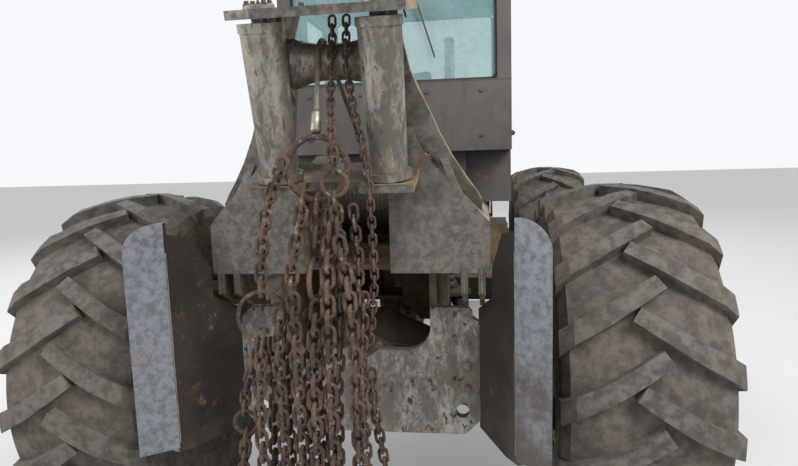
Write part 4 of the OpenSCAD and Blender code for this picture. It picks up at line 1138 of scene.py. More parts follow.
@dataclass
class MainLine:
    """The winch's line, laid from strands, from the drum over the spool."""

    drum: tuple[float, float] = (DRUM_Y, DRUM_Z)
    end: tuple[float, float] = (-0.749, 1.8506)
    across: float = -0.034
    on_drum: float = 0.1625
    on_spool: float = 0.0755
    step: float = 0.006
    strands: int = 6
    lay: float = 0.105
    lay_radius: float = 0.0060
    strand_radius: float = 0.0035
    core_radius: float = 0.0034

    def path(self) -> list[Vector]:
        """The line's middle, in small steps.

        Returns:
            Points about 6 mm apart.
        """
        spool = fair(0, 0.145, 0.372)
        sy, sz = spool.y - REAR_AXLE, spool.z
        ry, rz = sy - self.drum[0], sz - self.drum[1]
        reach = hypot(ry, rz)
        drop = self.on_drum - self.on_spool
        normal = atan2(rz, ry) - acos(drop / reach)
        straight = sqrt(reach ** 2 - drop ** 2)
        fy, fz = self.end[0] - sy, self.end[1] - sz
        fall = hypot(fy, fz)
        leave = 2 * pi + atan2(fz, fy) - acos(self.on_spool / fall)
        row = []
        count = int(straight / self.step)
        for k in range(count + 1):
            t = straight * k / count
            row.append((self.drum[0] + self.on_drum * cos(normal) - t * sin(normal),
                        self.drum[1] + self.on_drum * sin(normal) + t * cos(normal)))
        bend = int((leave - normal) * self.on_spool / self.step)
        for k in range(1, bend):
            t = normal + (leave - normal) * k / bend
            row.append((sy + self.on_spool * cos(t), sz + self.on_spool * sin(t)))
        last = sqrt(fall ** 2 - self.on_spool ** 2)
        count = int(last / self.step)
        for k in range(count + 1):
            t = last * k / count
            row.append((sy + self.on_spool * cos(leave) - t * sin(leave),
                        sz + self.on_spool * sin(leave) + t * cos(leave)))
        return [Vector((self.across, REAR_AXLE + y, z)) for y, z in row]

    def build(self) -> None:
        """Builds the laid line and the ferrule at its end."""
        line = self.path()
        work = Former("laid_line")
        across = Vector((1, 0, 0))
        for strand in range(self.strands):
            row, run = [], 0.0
            for k, p in enumerate(line):
                along = (line[min(k + 1, len(line) - 1)] - line[max(k - 1, 0)]).normalized()
                other = along.cross(across)
                turn = 2 * pi * (run / self.lay + strand / self.strands)
                row.append(p + self.lay_radius
                           * (cos(turn) * across + sin(turn) * other))
                if k + 1 < len(line):
                    run += (line[k + 1] - p).length
            work.tube(row, self.strand_radius, 6)
        work.tube(line[::2] + [line[-1]], self.core_radius, 6)
        piece = work.done(Finish.ROPE, body_of("main_line"))
        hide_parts("main_line")
        tip, run = line[-1], (line[-1] - line[-4]).normalized()
        ferrule = Former("line_ferrule")
        ferrule.lathe(tip, run, [(-0.072, 0.0105), (-0.066, 0.016), (-0.058, 0.019),
                                 (0.004, 0.019), (0.009, 0.014), (0.010, 0.006)], 24)
        ferrule.done(Finish.ROLLER, body_of("main_line"))


# Winch, arch and rollers


@dataclass
class Winch:
    """Rope turns on the drum, the covers' bolts and ribs, and the hoses."""

    across: float = 0.138
    turns: int = 14
    radius: float = 0.1425
    rope: float = 0.0096
    steps: int = 36

    def coils(self) -> None:
        """Winds the rope on the drum."""
        work = Former("drum_coils")
        half = self.across - 0.0095
        row = []
        for k in range(self.turns * self.steps + 1):
            t = 2 * pi * k / self.steps
            share = k / (self.turns * self.steps)
            row.append(Vector((-half + share * 2 * half,
                               REAR_AXLE + DRUM_Y + self.radius * cos(t),
                               DRUM_Z + self.radius * sin(t))))
        work.tube(row, self.rope, 8)
        work.done(Finish.ROPE, body_of("winch_drum"))

    def covers(self) -> None:
        """Bolts, ribs and plugs on the winch's side covers."""
        work = Former("winch_bolts")
        ribs = Former("winch_ribs")
        for s in (1, -1):
            at = Vector((s * 0.302, REAR_AXLE + DRUM_Y, DRUM_Z))
            for t in turns(10, 0.5):
                work.bolt(at + Vector((0, 0.108 * cos(t), 0.108 * sin(t))), (s, 0, 0),
                          0.022, 0.012)
            for k in range(9):
                t = pi * k / 8
                work.bolt(Vector((s * 0.263, at.y + 0.176 * cos(t),
                                  at.z + 0.176 * sin(t))), (s, 0, 0), 0.020, 0.011)
            work.bolt(at, (s, 0, 0), 0.040, 0.016)
            for t in turns(6):
                ribs.tube([at + Vector((0.001 * s, r * cos(t), r * sin(t)))
                           for r in (0.030, 0.060, 0.088)], [0.007, 0.006, 0.003], 8)
        body = body_of("winch_case")
        work.done(Finish.DARK, body)
        ribs.done(Finish.FRAME, body)

    def lines(self) -> None:
        """Hoses from the deck into the brake housing's back."""
        work = Former("winch_hoses")
        ends = Former("winch_fittings")
        body = body_of("winch_case")
        for k, x in enumerate((-0.12, -0.06, 0.07)):
            y, z = REAR_AXLE + 0.400, 1.46 + 0.02 * (k % 2)
            row = smooth_row([(x, y + 0.002, z), (x, y + 0.055, z + 0.004),
                              (x * 0.9, y + 0.085, z - 0.055), (x * 0.8, y + 0.090, z - 0.110),
                              (x * 0.8, y + 0.092, 1.309)], 6)
            work.tube(row, 0.0105, 10)
            ends.lathe((x, y, z), (0, 1, 0), [(0, 0.019), (0.012, 0.019), (0.013, 0.014),
                                              (0.036, 0.014), (0.038, 0.012)], 12)
            ends.lathe((x * 0.8, y + 0.092, 1.310), UP, [
                (0, 0.022), (0.008, 0.022), (0.009, 0.0145), (0.034, 0.0145), (0.036, 0.012)], 12)
        work.done(Finish.RUBBER, body)
        ends.done(Finish.CAST, body)

    def build(self) -> None:
        """Builds all pieces of the winch."""
        self.coils()
        self.covers()
        self.lines()


@dataclass
class Arch:
    """Keeper plates, bolts, weld beads and grease pipes of the arch."""

    roller_x: float = 0.198
    crown: float = 0.564
    half: float = 0.547

    def keepers(self) -> None:
        """Caps over the rollers' pins, and bolts of the crown and brackets."""
        work = Former("arch_bolts")
        caps = Former("roller_keepers")
        for s in (1, -1):
            top = fair(s * self.roller_x, 0, self.crown)
            caps.lathe(top, FAIR_UP, [(0.0, 0.052), (0.011, 0.052), (0.014, 0.048)], 32)
            for t in turns(4, 0.5):
                at = fair(s * self.roller_x + 0.041 * cos(t), 0.041 * sin(t),
                          self.crown + 0.014)
                work.bolt(at, FAIR_UP, 0.016, 0.009)
            work.lathe(fair(s * self.roller_x, 0, self.crown + 0.013), FAIR_UP, [
                (0, 0.007), (0.008, 0.007), (0.010, 0.0035), (0.018, 0.0045), (0.02, 0.002)], 10)
            for x, y in ((0.262, 0.19), (0.262, 0.27), (0.13, 0.27)):
                work.bolt(fair(s * x, y, self.crown), FAIR_UP, 0.022, 0.012)
            for z in (0.335, 0.415):
                work.bolt(fair(s * 0.174, 0.145 + (0.05 if z > 0.4 else -0.04), z), (s, 0, 0),
                          0.018, 0.010)
            work.bolt(fair(s * 0.178, 0.145, 0.372), (s, 0, 0), 0.038, 0.014)
        body = body_of("fairlead_arch")
        caps.done(Finish.ROLLER, body)
        work.done(Finish.CAST, body)

    def beads(self) -> None:
        """Weld beads where the arch's plates meet."""
        work = Former("arch_welds")
        back = REAR_AXLE - 0.512
        for s in (1, -1):
            for x in (0.440, 0.460, 0.506, 0.526):
                work.weld([(s * x, back + 0.002, 1.225), (s * x, back + 0.002, 1.328)], 0.006)
            work.weld([(s * (self.half - 0.001), back + 0.026, 1.32),
                       (s * (self.half - 0.001), back + 0.026, 1.50)], 0.006)
            work.weld([(s * (self.half + 0.001), back + 0.03, 1.312),
                       (s * (self.half + 0.001), REAR_AXLE + 0.24, 1.312)], 0.006)
            work.weld([(s * 0.300, back + 0.045, 1.312), (s * 0.300, REAR_AXLE - 0.335, 1.312)],
                      0.006)
            work.weld([fair(s * 0.100, -0.078, -0.023), fair(s * 0.288, -0.078, -0.023)], 0.005)
            work.weld([fair(s * 0.174, 0.100, 0.533), fair(s * 0.174, 0.190, 0.533)], 0.005)
        work.done(Finish.ARCH, body_of("fairlead_arch"))

    def pipes(self) -> None:
        """Thin grease pipes down the inner face of each side plate."""
        work = Former("grease_pipes")
        clips = Former("pipe_clips")
        for s in (1, -1):
            row = smooth_row([fair(s * 0.215, 0.14, 0.560) + Vector((0, 0, 0.006)),
                              fair(s * 0.235, 0.25, 0.568), fair(s * 0.240, 0.306, 0.545),
                              fair(s * 0.250, 0.312, 0.505)], 6)
            work.tube(row, 0.0042, 8)
            for p in (row[3], row[12]):
                clips.lathe(p, row[4] - row[3], [(-0.006, 0.0075), (0.006, 0.0075)], 10)
        body = body_of("fairlead_arch")
        work.done(Finish.RUBBER, body)
        clips.done(Finish.CAST, body)

    def build(self) -> None:
        """Builds all pieces of the arch."""
        self.keepers()
        self.beads()
        self.pipes()


@dataclass
class SternAndGuards:
    """Weld beads and bolts of the stern plate and the log guards."""

    stern: float = 0.500
    back: float = 0.372

    def build(self) -> None:
        """Builds the beads and the bolts."""
        beads = Former("guard_welds")
        body = body_of("log_guards")
        foot = REAR_AXLE - self.back
        for s in (1, -1):
            beads.weld([(s * (self.stern - 0.001), foot - 0.0005, 0.67),
                        (s * (self.stern - 0.001), foot - 0.0005, 1.07)], 0.007)
            beads.weld([(s * 0.629, REAR_AXLE - 0.724, 0.70), (s * 0.629, REAR_AXLE - 0.724, 1.43)],
                       0.006)
            for x in (0.30, 0.33):
                beads.weld([(s * x, foot + 0.041, 0.62), (s * x, foot + 0.041, 0.93)], 0.006)
        beads.done(Finish.STERN, body)
        bolts = Former("stern_bolts")
        for s in (1, -1):
            for z in (0.80, 0.90):
                bolts.bolt((s * 0.452, foot, z), (0, -1, 0), 0.026, 0.012)
        bolts.done(Finish.STERN, body_of("stern_plate"))


# Frames, pivot and cylinders


@dataclass
class PivotHoses:
    """Hydraulic hoses that bend across the pivot on both sides of the neck."""

    radius: float = 0.0125
    heights: tuple[float, ...] = (1.015, 1.055, 1.095, 1.135)

    def build(self) -> None:
        """Builds the hoses across the joint, and their fittings."""
        for s, hand in HANDS:
            work = Former(f"pivot_hoses_{hand}")
            rear = Former(f"hose_fittings_rear_{hand}")
            fore = Former(f"hose_fittings_front_{hand}")
            for k, z in enumerate(self.heights):
                out = 0.004 * (k % 2)
                row = smooth_row([
                    (s * 0.332, -1.150, z), (s * (0.352 + out), -1.060, z),
                    (s * (0.312 + out), -0.885, z - 0.008), (s * (0.240 + out), -0.670, z - 0.022),
                    (s * (0.192 + out), -0.460, z - 0.032), (s * (0.186 + out), -0.280, z - 0.020),
                    (s * 0.182, -0.136, z)], 8)
                work.tube(row, self.radius, 10)
                rear.lathe((s * 0.3285, -1.150, z), (s, 0.25, 0), [
                    (0, 0.021), (0.010, 0.021), (0.011, 0.016), (0.024, 0.016)], 12)
                fore.lathe((s * 0.182, -0.1385, z), (0, -1, 0), [
                    (0, 0.020), (0.012, 0.020), (0.013, 0.0155), (0.046, 0.0155)], 12)
            rear.done(Finish.CAST, REAR)
            fore.done(Finish.CAST, FRONT)
            hoses = work.done(Finish.RUBBER, None)
            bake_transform(hoses)


@dataclass
class Cylinders:
    """Glands, pin caps, ports and pipes of the steering and lift cylinders."""

    steer_tail: tuple[float, float, float] = (0.392, PIVOT - 0.750, 0.900)
    steer_eye: tuple[float, float, float] = (0.220, PIVOT + 0.050, 0.900)
    lift_head: tuple[float, float, float] = (0.540, FRONT_AXLE + 0.780, 1.330)
    lift_eye: tuple[float, float, float] = (0.540, FRONT_AXLE + 0.880, 0.640)

    def one(self, name: str, tail: Vector, eye: Vector, barrel: float, foot: float,
            body: str) -> None:
        """A gland at a barrel's end, and its two ports with a steel pipe.

        Args:
            name: the cylinder's name.
            tail: its tail pin's middle.
            eye: its rod's eye.
            barrel: distance from the tail to the barrel's end.
            foot: distance from the tail to the barrel's start.
            body: the barrel's body.
        """
        along = (eye - tail).normalized()
        up = Vector(UP) if abs(along.z) < 0.5 else Vector((0, 1, 0))
        up = (up - up.dot(along) * along).normalized()
        work = Former(f"{name}_gland")
        work.lathe(tail + along * (barrel - 0.036), along, [
            (0, 0.0475), (0.002, 0.0515), (0.030, 0.0515), (0.034, 0.0480), (0.040, 0.0400),
            (0.041, 0.0300)], 28)
        work.lathe(tail + along * (foot + 0.004), along, [
            (0, 0.0475), (0.001, 0.0500), (0.020, 0.0500), (0.022, 0.0475)], 28)
        for run in (foot + 0.045, barrel - 0.070):
            at = tail + along * run + up * 0.044
            work.lathe(at, up, [(0, 0.014), (0.014, 0.014), (0.015, 0.011), (0.028, 0.011)], 12)
        work.done(Finish.CAST, body)
        pipe = Former(f"{name}_pipe")
        a = tail + along * (barrel - 0.070) + up * 0.068
        b = tail + along * (foot + 0.075) + up * 0.068
        pipe.tube(smooth_row([a - up * 0.004, a + up * 0.010 - along * 0.012,
                              a + up * 0.006 - along * 0.045, b + up * 0.006 + along * 0.02,
                              b + up * 0.004], 5), 0.0062, 8)
        pipe.done(Finish.DARK, body)

    def build(self) -> None:
        """Builds the pieces of all four cylinders."""
        for s, hand in HANDS:
            tail, eye, head, low = (Vector((s * x, y, z)) for x, y, z in (
                self.steer_tail, self.steer_eye, self.lift_head, self.lift_eye))
            self.one(f"steer_{hand}", tail, eye, 0.456, 0.056, body_of(f"steer_barrel_{hand}"))
            length = (low - head).length
            self.one(f"lift_{hand}", head, low, length - 0.266, 0.050,
                     body_of(f"lift_barrel_{hand}"))
            pins = Former(f"pin_caps_{hand}")
            for z in (-1, 1):
                pins.bolt(eye + Vector((0, 0, z * 0.066)), (0, 0, z), 0.034, 0.012)
            for x in (-1, 1):
                pins.bolt(head + Vector((x * 0.080, 0, 0)), (x, 0, 0), 0.030, 0.010)
            pins.done(Finish.CAST, FRONT)


@dataclass
class FrameDetails:
    """Deck bolts, step treads, tank caps and straps, and frame welds."""

    deck: float = 1.310

    def deck_bolts(self) -> None:
        """Bolts of the deck and beads along the rails."""
        work = Former("deck_bolts")
        beads = Former("rear_frame_welds")
        for s in (1, -1):
            for y in (-0.28, -0.12, 0.05, 0.20):
                work.bolt((s * 0.500, REAR_AXLE + y, self.deck), UP, 0.026, 0.012)
            for y in (0.36, 0.48, 0.62):
                work.bolt((s * 0.290, REAR_AXLE + y, self.deck), UP, 0.024, 0.012)
            beads.weld([(s * 0.331, REAR_AXLE - 0.32, 1.289), (s * 0.331, REAR_AXLE + 0.50, 1.289)],
                       0.006)
            beads.weld([(s * 0.111, PIVOT - 0.630, 0.945), (s * 0.111, PIVOT - 0.150, 0.945)],
                       0.005)
        work.done(Finish.CAST, REAR)
        beads.done(Finish.FRAME, REAR)

    def tanks(self) -> None:
        """Caps, straps and step treads of the side tanks."""
        work = Former("tank_straps")
        caps = Former("tank_caps")
        treads = Former("step_treads")
        for s in (1, -1):
            for y in (PIVOT + 0.165, PIVOT + 0.525):
                work.block((s * 0.334 if s > 0 else -0.6935, y - 0.018, 0.857),
                           (0.6935 if s > 0 else -0.334, y + 0.018, 0.8605))
                side = sorted((s * 0.6895, s * 0.6940))
                work.block((side[0], y - 0.018, 0.857), (side[1], y + 0.018, 1.252))
            caps.lathe((s * 0.520, PIVOT + 0.175, 1.2495), UP, [
                (0, 0.046), (0.010, 0.046), (0.012, 0.041), (0.030, 0.041), (0.034, 0.036)], 24)
            for k in range(4):
                x = 0.580 + k * 0.030
                treads.tube([(s * x, PIVOT + 0.222, 1.0605), (s * x, PIVOT + 0.478, 1.0605)],
                            0.0045, 6)
        work.done(Finish.DARK, FRONT)
        caps.done(Finish.DARK, FRONT)
        treads.done(Finish.CAST, FRONT)

    def build(self) -> None:
        """Builds all of them."""
        self.deck_bolts()
        self.tanks()


@dataclass
class BladeDetails:
    """Edge bolts and back ribs of the blade."""

    reach: float = FRONT_AXLE + 1.500
    bolts: int = 14
    bolt_half: float = 1.09
    curve: float = 0.7597
    curve_z: float = 0.445
    rib_off: float = 0.022

    def build(self) -> None:
        """Builds the pieces on the blade's body."""
        bolts = Former("blade_bolts")
        for k in range(self.bolts):
            x = self.bolt_half * (2 * k / (self.bolts - 1) - 1)
            bolts.bolt((x, self.reach - 0.0225, 0.125), (0, -1, 0), 0.026, 0.013)
        body = body_of("blade")
        bolts.done(Finish.CAST, body)
        ribs = Former("blade_ribs")
        middle = self.reach - 0.150
        for x in (-1.05, -0.80, -0.25, 0.25, 0.80, 1.05):
            row = []
            for k in range(9):
                z = 0.230 + k * 0.065
                off = sqrt((self.curve + self.rib_off) ** 2 - (z - self.curve_z) ** 2)
                row.append(Vector((x, middle + self.curve - off, z)))
            rings = [[p + Vector((dx, dy, 0)) for dx, dy in
                      ((-0.008, 0.004), (0.008, 0.004), (0.008, -0.030), (-0.008, -0.030))]
                     for p in row]
            ribs.loft(rings)
        ribs.done(Finish.FRAME, body, 0.002)


# Cab


def rounded_frame(middle: Point, across: Point, up: Point, half: tuple[float, float],
                  corner: float, steps: int = 5) -> list[Vector]:
    """Points round a rectangle with round corners.

    Args:
        middle: its middle.
        across: direction of its width.
        up: direction of its height.
        half: half its width and half its height.
        corner: radius of its corners.
        steps: pieces in a corner.

    Returns:
        The points in order.
    """
    u, v = Vector(across).normalized(), Vector(up).normalized()
    row = []
    for k, (a, b) in enumerate(((1, 1), (-1, 1), (-1, -1), (1, -1))):
        for n in range(steps + 1):
            t = pi / 2 * (k + n / steps)
            row.append(Vector(middle)
                       + u * (a * (half[0] - corner) + corner * cos(t))
                       + v * (b * (half[1] - corner) + corner * sin(t)))
    return row


@dataclass
class Cab:
    """Window seals, door fittings, rails, wiper, roof beads and controls."""

    back: float = REAR_AXLE + 0.900
    front: float = REAR_AXLE + 2.100
    roof: float = 2.850

    def seals(self) -> None:
        """Rubber seals round every window."""
        work = Former("window_seals")
        for y in (self.back + 0.0165, self.back + 0.0315):
            work.tube(rounded_frame((0, y, 2.485), (1, 0, 0), UP, (0.607, 0.297), 0.035),
                      0.0080, 8, True)
        for y in (self.front - 0.0335, self.front - 0.0185):
            work.tube(rounded_frame((0, y, 2.375), (1, 0, 0), UP, (0.607, 0.407), 0.035),
                      0.0080, 8, True)
        for s in (1, -1):
            for x in (0.6635, 0.6745):
                work.tube(rounded_frame((s * x, self.back + 0.190, 2.485), (0, 1, 0), (0, 0, 1),
                                        (0.102, 0.297), 0.030), 0.0070, 8, True)
        work.done(Finish.RUBBER, FRONT)
        for s, hand in HANDS:
            door = Former(f"door_seal_{hand}")
            for x in (0.6675, 0.6785):
                door.tube(rounded_frame((s * x, DOOR_Y, 2.362), (0, 1, 0), (0, 0, 1),
                                        (0.301, 0.345), 0.035), 0.0070, 8, True)
            door.done(Finish.RUBBER, body_of(f"door_{hand}"))

    def doors(self) -> None:
        """Handles, locks and pressed ribs of the doors."""
        for s, hand in HANDS:
            work = Former(f"door_handle_{hand}")
            y = REAR_AXLE + 1.300
            work.lathe((s * 0.694, y, 1.880), (s, 0, 0), [
                (0, 0.026), (0.006, 0.026), (0.008, 0.016), (0.030, 0.014)], 20)
            work.tube(smooth_row([(s * 0.722, y, 1.880), (s * 0.728, y + 0.030, 1.878),
                                  (s * 0.727, y + 0.125, 1.872), (s * 0.716, y + 0.140, 1.871)], 5),
                      [0.010] * 5 + [0.009] * 11, 10)
            work.lathe((s * 0.694, y, 1.800), (s, 0, 0), [(0, 0.013), (0.006, 0.013),
                                                          (0.008, 0.010)], 16)
            work.done(Finish.CAST, body_of(f"door_{hand}"))
            ribs = Former(f"door_ribs_{hand}")
            for z in (1.590, 1.700):
                ribs.tube(rounded_frame((s * 0.6945, DOOR_Y, z), (0, 1, 0), (0, 0, 1),
                                        (0.280, 0.030), 0.028), 0.0045, 6, True)
            ribs.done(Finish.HOOD, body_of(f"door_{hand}"))

    def outside(self) -> None:
        """Grab rails, wiper, roof beads, bolts and weld beads."""
        rails = Former("grab_rails")
        for s in (1, -1):
            x, y = s * 0.655, self.front
            rails.tube(smooth_row([(x, y - 0.004, 1.560), (x, y + 0.040, 1.575),
                                   (x, y + 0.052, 1.630), (x, y + 0.052, 1.960),
                                   (x, y + 0.040, 2.015), (x, y - 0.004, 2.030)], 6),
                       0.0125, 12)
            for z in (1.560, 2.030):
                rails.lathe((x, y, z), (0, 1, 0), [(0, 0.028), (0.007, 0.028),
                                                   (0.009, 0.020)], 18)
        rails.done(Finish.CAST, FRONT)
        work = Former("rear_wiper")
        y = self.back + 0.010
        work.lathe((0.10, self.back + 0.004, 2.812), (0, -1, 0), [
            (0, 0.030), (0.016, 0.030), (0.020, 0.022), (0.026, 0.012), (0.034, 0.010)], 20)
        arm = [(0.10, y - 0.032, 2.812), (0.13, y - 0.030, 2.700), (0.195, y - 0.014, 2.500)]
        work.tube(smooth_row(arm, 6), 0.005, 8)
        work.tube([(0.140, y - 0.008, 2.680), (0.195, y - 0.009, 2.500), (0.250, y - 0.008, 2.320)],
                  0.0055, 6)
        work.done(Finish.PLASTIC, FRONT)
        top = Former("roof_beads")
        for x in (-0.50, -0.25, 0.0, 0.25, 0.50):
            top.tube([(x, self.back + 0.05, self.roof + 0.0685),
                      (x, self.front - 0.03, self.roof + 0.0685)], 0.0095, 8)
        middle = (0, (self.back + self.front) / 2 + 0.015, self.roof + 0.012)
        edge = rounded_frame(middle, (1, 0, 0), (0, 1, 0), (0.714, 0.644), 0.020)
        top.tube(edge, 0.0065, 6, True)
        top.done(Finish.HOOD, FRONT)
        bolts = Former("cab_bolts")
        for s in (1, -1):
            for y in (self.back + 0.06, self.back + 0.60, self.front - 0.05):
                bolts.bolt((s * 0.655, y, self.roof + 0.070), UP, 0.024, 0.012)
            for x in (0.20, 0.52):
                for z in (1.860, 2.120):
                    bolts.bolt((s * x, self.back, z), (0, -1, 0), 0.018, 0.009)
            for z in (1.36, 1.42):
                for y in (-0.60, -0.20, 0.20):
                    bolts.bolt((s * 0.420, y, z), (s, 0, 0), 0.020, 0.010)
        bolts.done(Finish.CAST, FRONT)
        beads = Former("cab_welds")
        for s in (1, -1):
            beads.weld([(s * 0.616, self.back - 0.0005, 2.182),
                        (s * 0.616, self.back - 0.0005, 2.788)], 0.004)
            beads.weld([(s * 0.694, self.back + 0.30, 2.181),
                        (s * 0.694, self.back + 0.005, 2.181)], 0.004)
        beads.weld([(-0.69, self.back + 0.001, 2.1795), (0.69, self.back + 0.001, 2.1795)], 0.004)
        beads.done(Finish.CAB, FRONT)

    def controls(self) -> None:
        """Lever console, levers, pedals, floor mat and gauges."""
        console = Former("lever_console")
        rings = [[Vector((x, y, z)) for x, y in ((0.290, a), (0.400, a), (0.400, b), (0.290, b))]
                 for z, a, b in ((1.4805, -0.36, -0.06), (1.70, -0.34, -0.08), (1.86, -0.40, -0.04),
                                 (1.885, -0.39, -0.05))]
        console.loft(rings)
        console.done(Finish.PLASTIC, FRONT, 0.012)
        levers = Former("levers")
        knobs = Former("lever_knobs")
        for k, (x, y, lean) in enumerate(((0.320, -0.32, 0.02), (0.370, -0.26, -0.01),
                                          (0.320, -0.20, 0.03), (0.370, -0.14, 0.0))):
            foot = Vector((x, y, 1.882))
            tip = foot + Vector((0.01, lean - 0.03, 0.20 + 0.03 * (k % 2)))
            levers.tube([foot, foot.lerp(tip, 0.5) + Vector((0, 0.012, 0)), tip], 0.006, 8)
            levers.lathe(foot, UP, [(0, 0.020), (0.010, 0.019), (0.020, 0.013),
                                           (0.030, 0.011), (0.040, 0.008)], 16)
            knobs.lathe(tip, tip - foot, [(-0.008, 0.009), (0.004, 0.018), (0.018, 0.022),
                                          (0.032, 0.018), (0.040, 0.006)], 16)
        levers.tube([(-0.30, 0.26, 1.50), (-0.29, 0.20, 1.95), (-0.285, 0.06, 2.18)], 0.011, 10)
        knobs.lathe((-0.285, 0.06, 2.18), (0, -0.5, 0.9), [
            (-0.01, 0.012), (0.0, 0.020), (0.060, 0.022), (0.085, 0.016), (0.09, 0.006)], 16)
        for x in (-0.20, 0.16, 0.25):
            levers.tube([(x, 0.27, 1.640), (x, 0.19, 1.600), (x, 0.16, 1.560)], 0.010, 8)
            knobs.block((x - 0.035, 0.135, 1.545), (x + 0.035, 0.150, 1.625),
                        Matrix.Rotation(radians(-35), 3, "X"))
        levers.done(Finish.CHROME, FRONT)
        knobs.done(Finish.RUBBER, FRONT, 0.002)
        mat = Former("floor_mat")
        for k in range(22):
            x = -0.575 + k * 0.0548
            mat.tube([(x, -0.10, 1.4815), (x, 0.17, 1.4815)], 0.0045, 6)
        mat.done(Finish.RUBBER, FRONT)
        bezels = Former("gauge_bezels")
        glass = Former("gauge_glasses")
        for x, z, r in ((-0.24, 1.88, 0.036), (-0.14, 1.88, 0.036), (0.0, 1.875, 0.05),
                        (0.14, 1.88, 0.036), (0.24, 1.88, 0.036)):
            bezels.tube(circle_row((x, 0.1085, z), (0, 1, 0), r, 32), 0.005, 8, True)
            glass.lathe((x, 0.1115, z), (0, -1, 0), [
                (0, r), (0.003, r * 0.9), (0.005, r * 0.4)], 28)
        bezels.done(Finish.CHROME, FRONT)
        glass.done(Finish.LENS, FRONT)

    def build(self) -> None:
        """Builds all pieces of the cab."""
        self.seals()
        self.doors()
        self.outside()
        self.controls()


@dataclass
class SeatPads:
    """The driver's seat: two sewn pads, swollen as cloth round foam."""

    voxel: float = 0.006
    most: float = 0.024
    low: float = 1.6806
    back: float = REAR_AXLE + 1.110

    def slab(self, name: str, a: Point, b: Point) -> bpy.types.Object:
        """A rounded slab between two corners, remeshed for the cloth.

        Args:
            name: its name.
            a: its low corner.
            b: its high corner.

        Returns:
            The slab.
        """
        mesh = bmesh.new()
        bmesh.ops.create_cube(mesh, size=1.0)
        low, high = Vector(a), Vector(b)
        for v in mesh.verts:
            v.co = Vector(((low[k] + high[k]) / 2 + v.co[k] * (high[k] - low[k])
                           for k in range(3)))
        bmesh.ops.bevel(mesh, geom=mesh.edges[:], offset=0.032, segments=4, profile=0.5,
                        affect="EDGES")
        data = bpy.data.meshes.new(name)
        mesh.to_mesh(data)
        mesh.free()
        thing = link_up(name, data)
        tool = thing.modifiers.new("grid", "REMESH")
        tool.mode, tool.voxel_size = "VOXEL", self.voxel
        self.apply(thing)
        return thing

    def apply(self, thing: bpy.types.Object) -> None:
        """Turns what the modifiers show into the piece's own mesh.

        Args:
            thing: the piece.
        """
        graph = bpy.context.evaluated_depsgraph_get()
        data = bpy.data.meshes.new_from_object(thing.evaluated_get(graph))
        thing.modifiers.clear()
        thing.data = data

    def swell(self, thing: bpy.types.Object) -> None:
        """Inflates a slab as cloth, no point further than the cap.

        Args:
            thing: the slab.
        """
        start = [v.co.copy() for v in thing.data.vertices]
        cloth = thing.modifiers.new("cloth", "CLOTH")
        cloth.settings.use_pressure = True
        cloth.settings.uniform_pressure_force = 4.0
        cloth.settings.effector_weights.gravity = 0.0
        scene = bpy.context.scene
        for step in range(1, 21):
            scene.frame_set(step)
        self.apply(thing)
        scene.frame_set(1)
        for v, was in zip(thing.data.vertices, start):
            move = v.co - was
            if move.length > self.most:
                v.co = was + move * (self.most / move.length)

    def sew(self, thing: bpy.types.Object, axis: int, rows: Sequence[float], face: Vector,
            depth: float = 0.010) -> None:
        """Presses sewn channels into one face of a pad.

        Args:
            thing: the pad.
            axis: the axis across the channels.
            rows: the channels' places on it.
            face: the face's normal.
            depth: how deep a channel goes.
        """
        for v in thing.data.vertices:
            turned = max(0.0, v.normal.dot(face))
            near = min(abs(v.co[axis] - row) for row in rows)
            v.co -= face * (depth * turned * exp(-(near / 0.010) ** 2))

    def build(self) -> None:
        """Builds both pads and the belt."""
        y = self.back
        pads = (
            ("seat_pad", (-0.228, y + 0.142, self.low), (0.228, y + 0.508, self.low + 0.092),
             0, (-0.14, -0.047, 0.047, 0.14), Vector(UP)),
            ("back_pad", (-0.216, y + 0.038, self.low + 0.024),
             (0.216, y + 0.112, self.low + 0.606),
             2, (self.low + 0.16, self.low + 0.28, self.low + 0.40), Vector((0, 1, 0))),
        )
        for name, a, b, axis, rows, face in pads:
            thing = self.slab(name, a, b)
            self.swell(thing)
            for v in thing.data.vertices:
                v.co.z = max(v.co.z, self.low + 0.0002)
                v.co.y = max(v.co.y, y + 0.0306)
            thing.data.update()
            self.sew(thing, axis, rows, face)
            thing.data.update()
            for polygon in thing.data.polygons:
                polygon.use_smooth = True
            finer = thing.modifiers.new("finer", "SUBSURF")
            finer.levels = finer.render_levels = 1
            SHOP.coat(thing, Finish.SEAT)
            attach(thing, body_of("seat_cushion"))
            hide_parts("seat_cushion")
            LOG.info("piece %s: %d faces", name, len(thing.data.polygons))
        belt = Former("seat_belt")
        for s in (1, -1):
            row = smooth_row([(s * 0.222, y + 0.10, self.low + 0.010),
                              (s * 0.250, y + 0.15, self.low + 0.100),
                              (s * 0.215, y + 0.24, self.low + 0.122)], 6)
            rings = [[p + Vector((0.0, 0.022, 0)), p + Vector((0.0015 * s, 0.022, 0.0015)),
                      p + Vector((0.0015 * s, -0.022, 0.0015)), p + Vector((0.0, -0.022, 0))]
                     for p in row]
            belt.loft(rings)
        belt.done(Finish.PLASTIC, FRONT)


# Hood, stacks, lamps and running gear


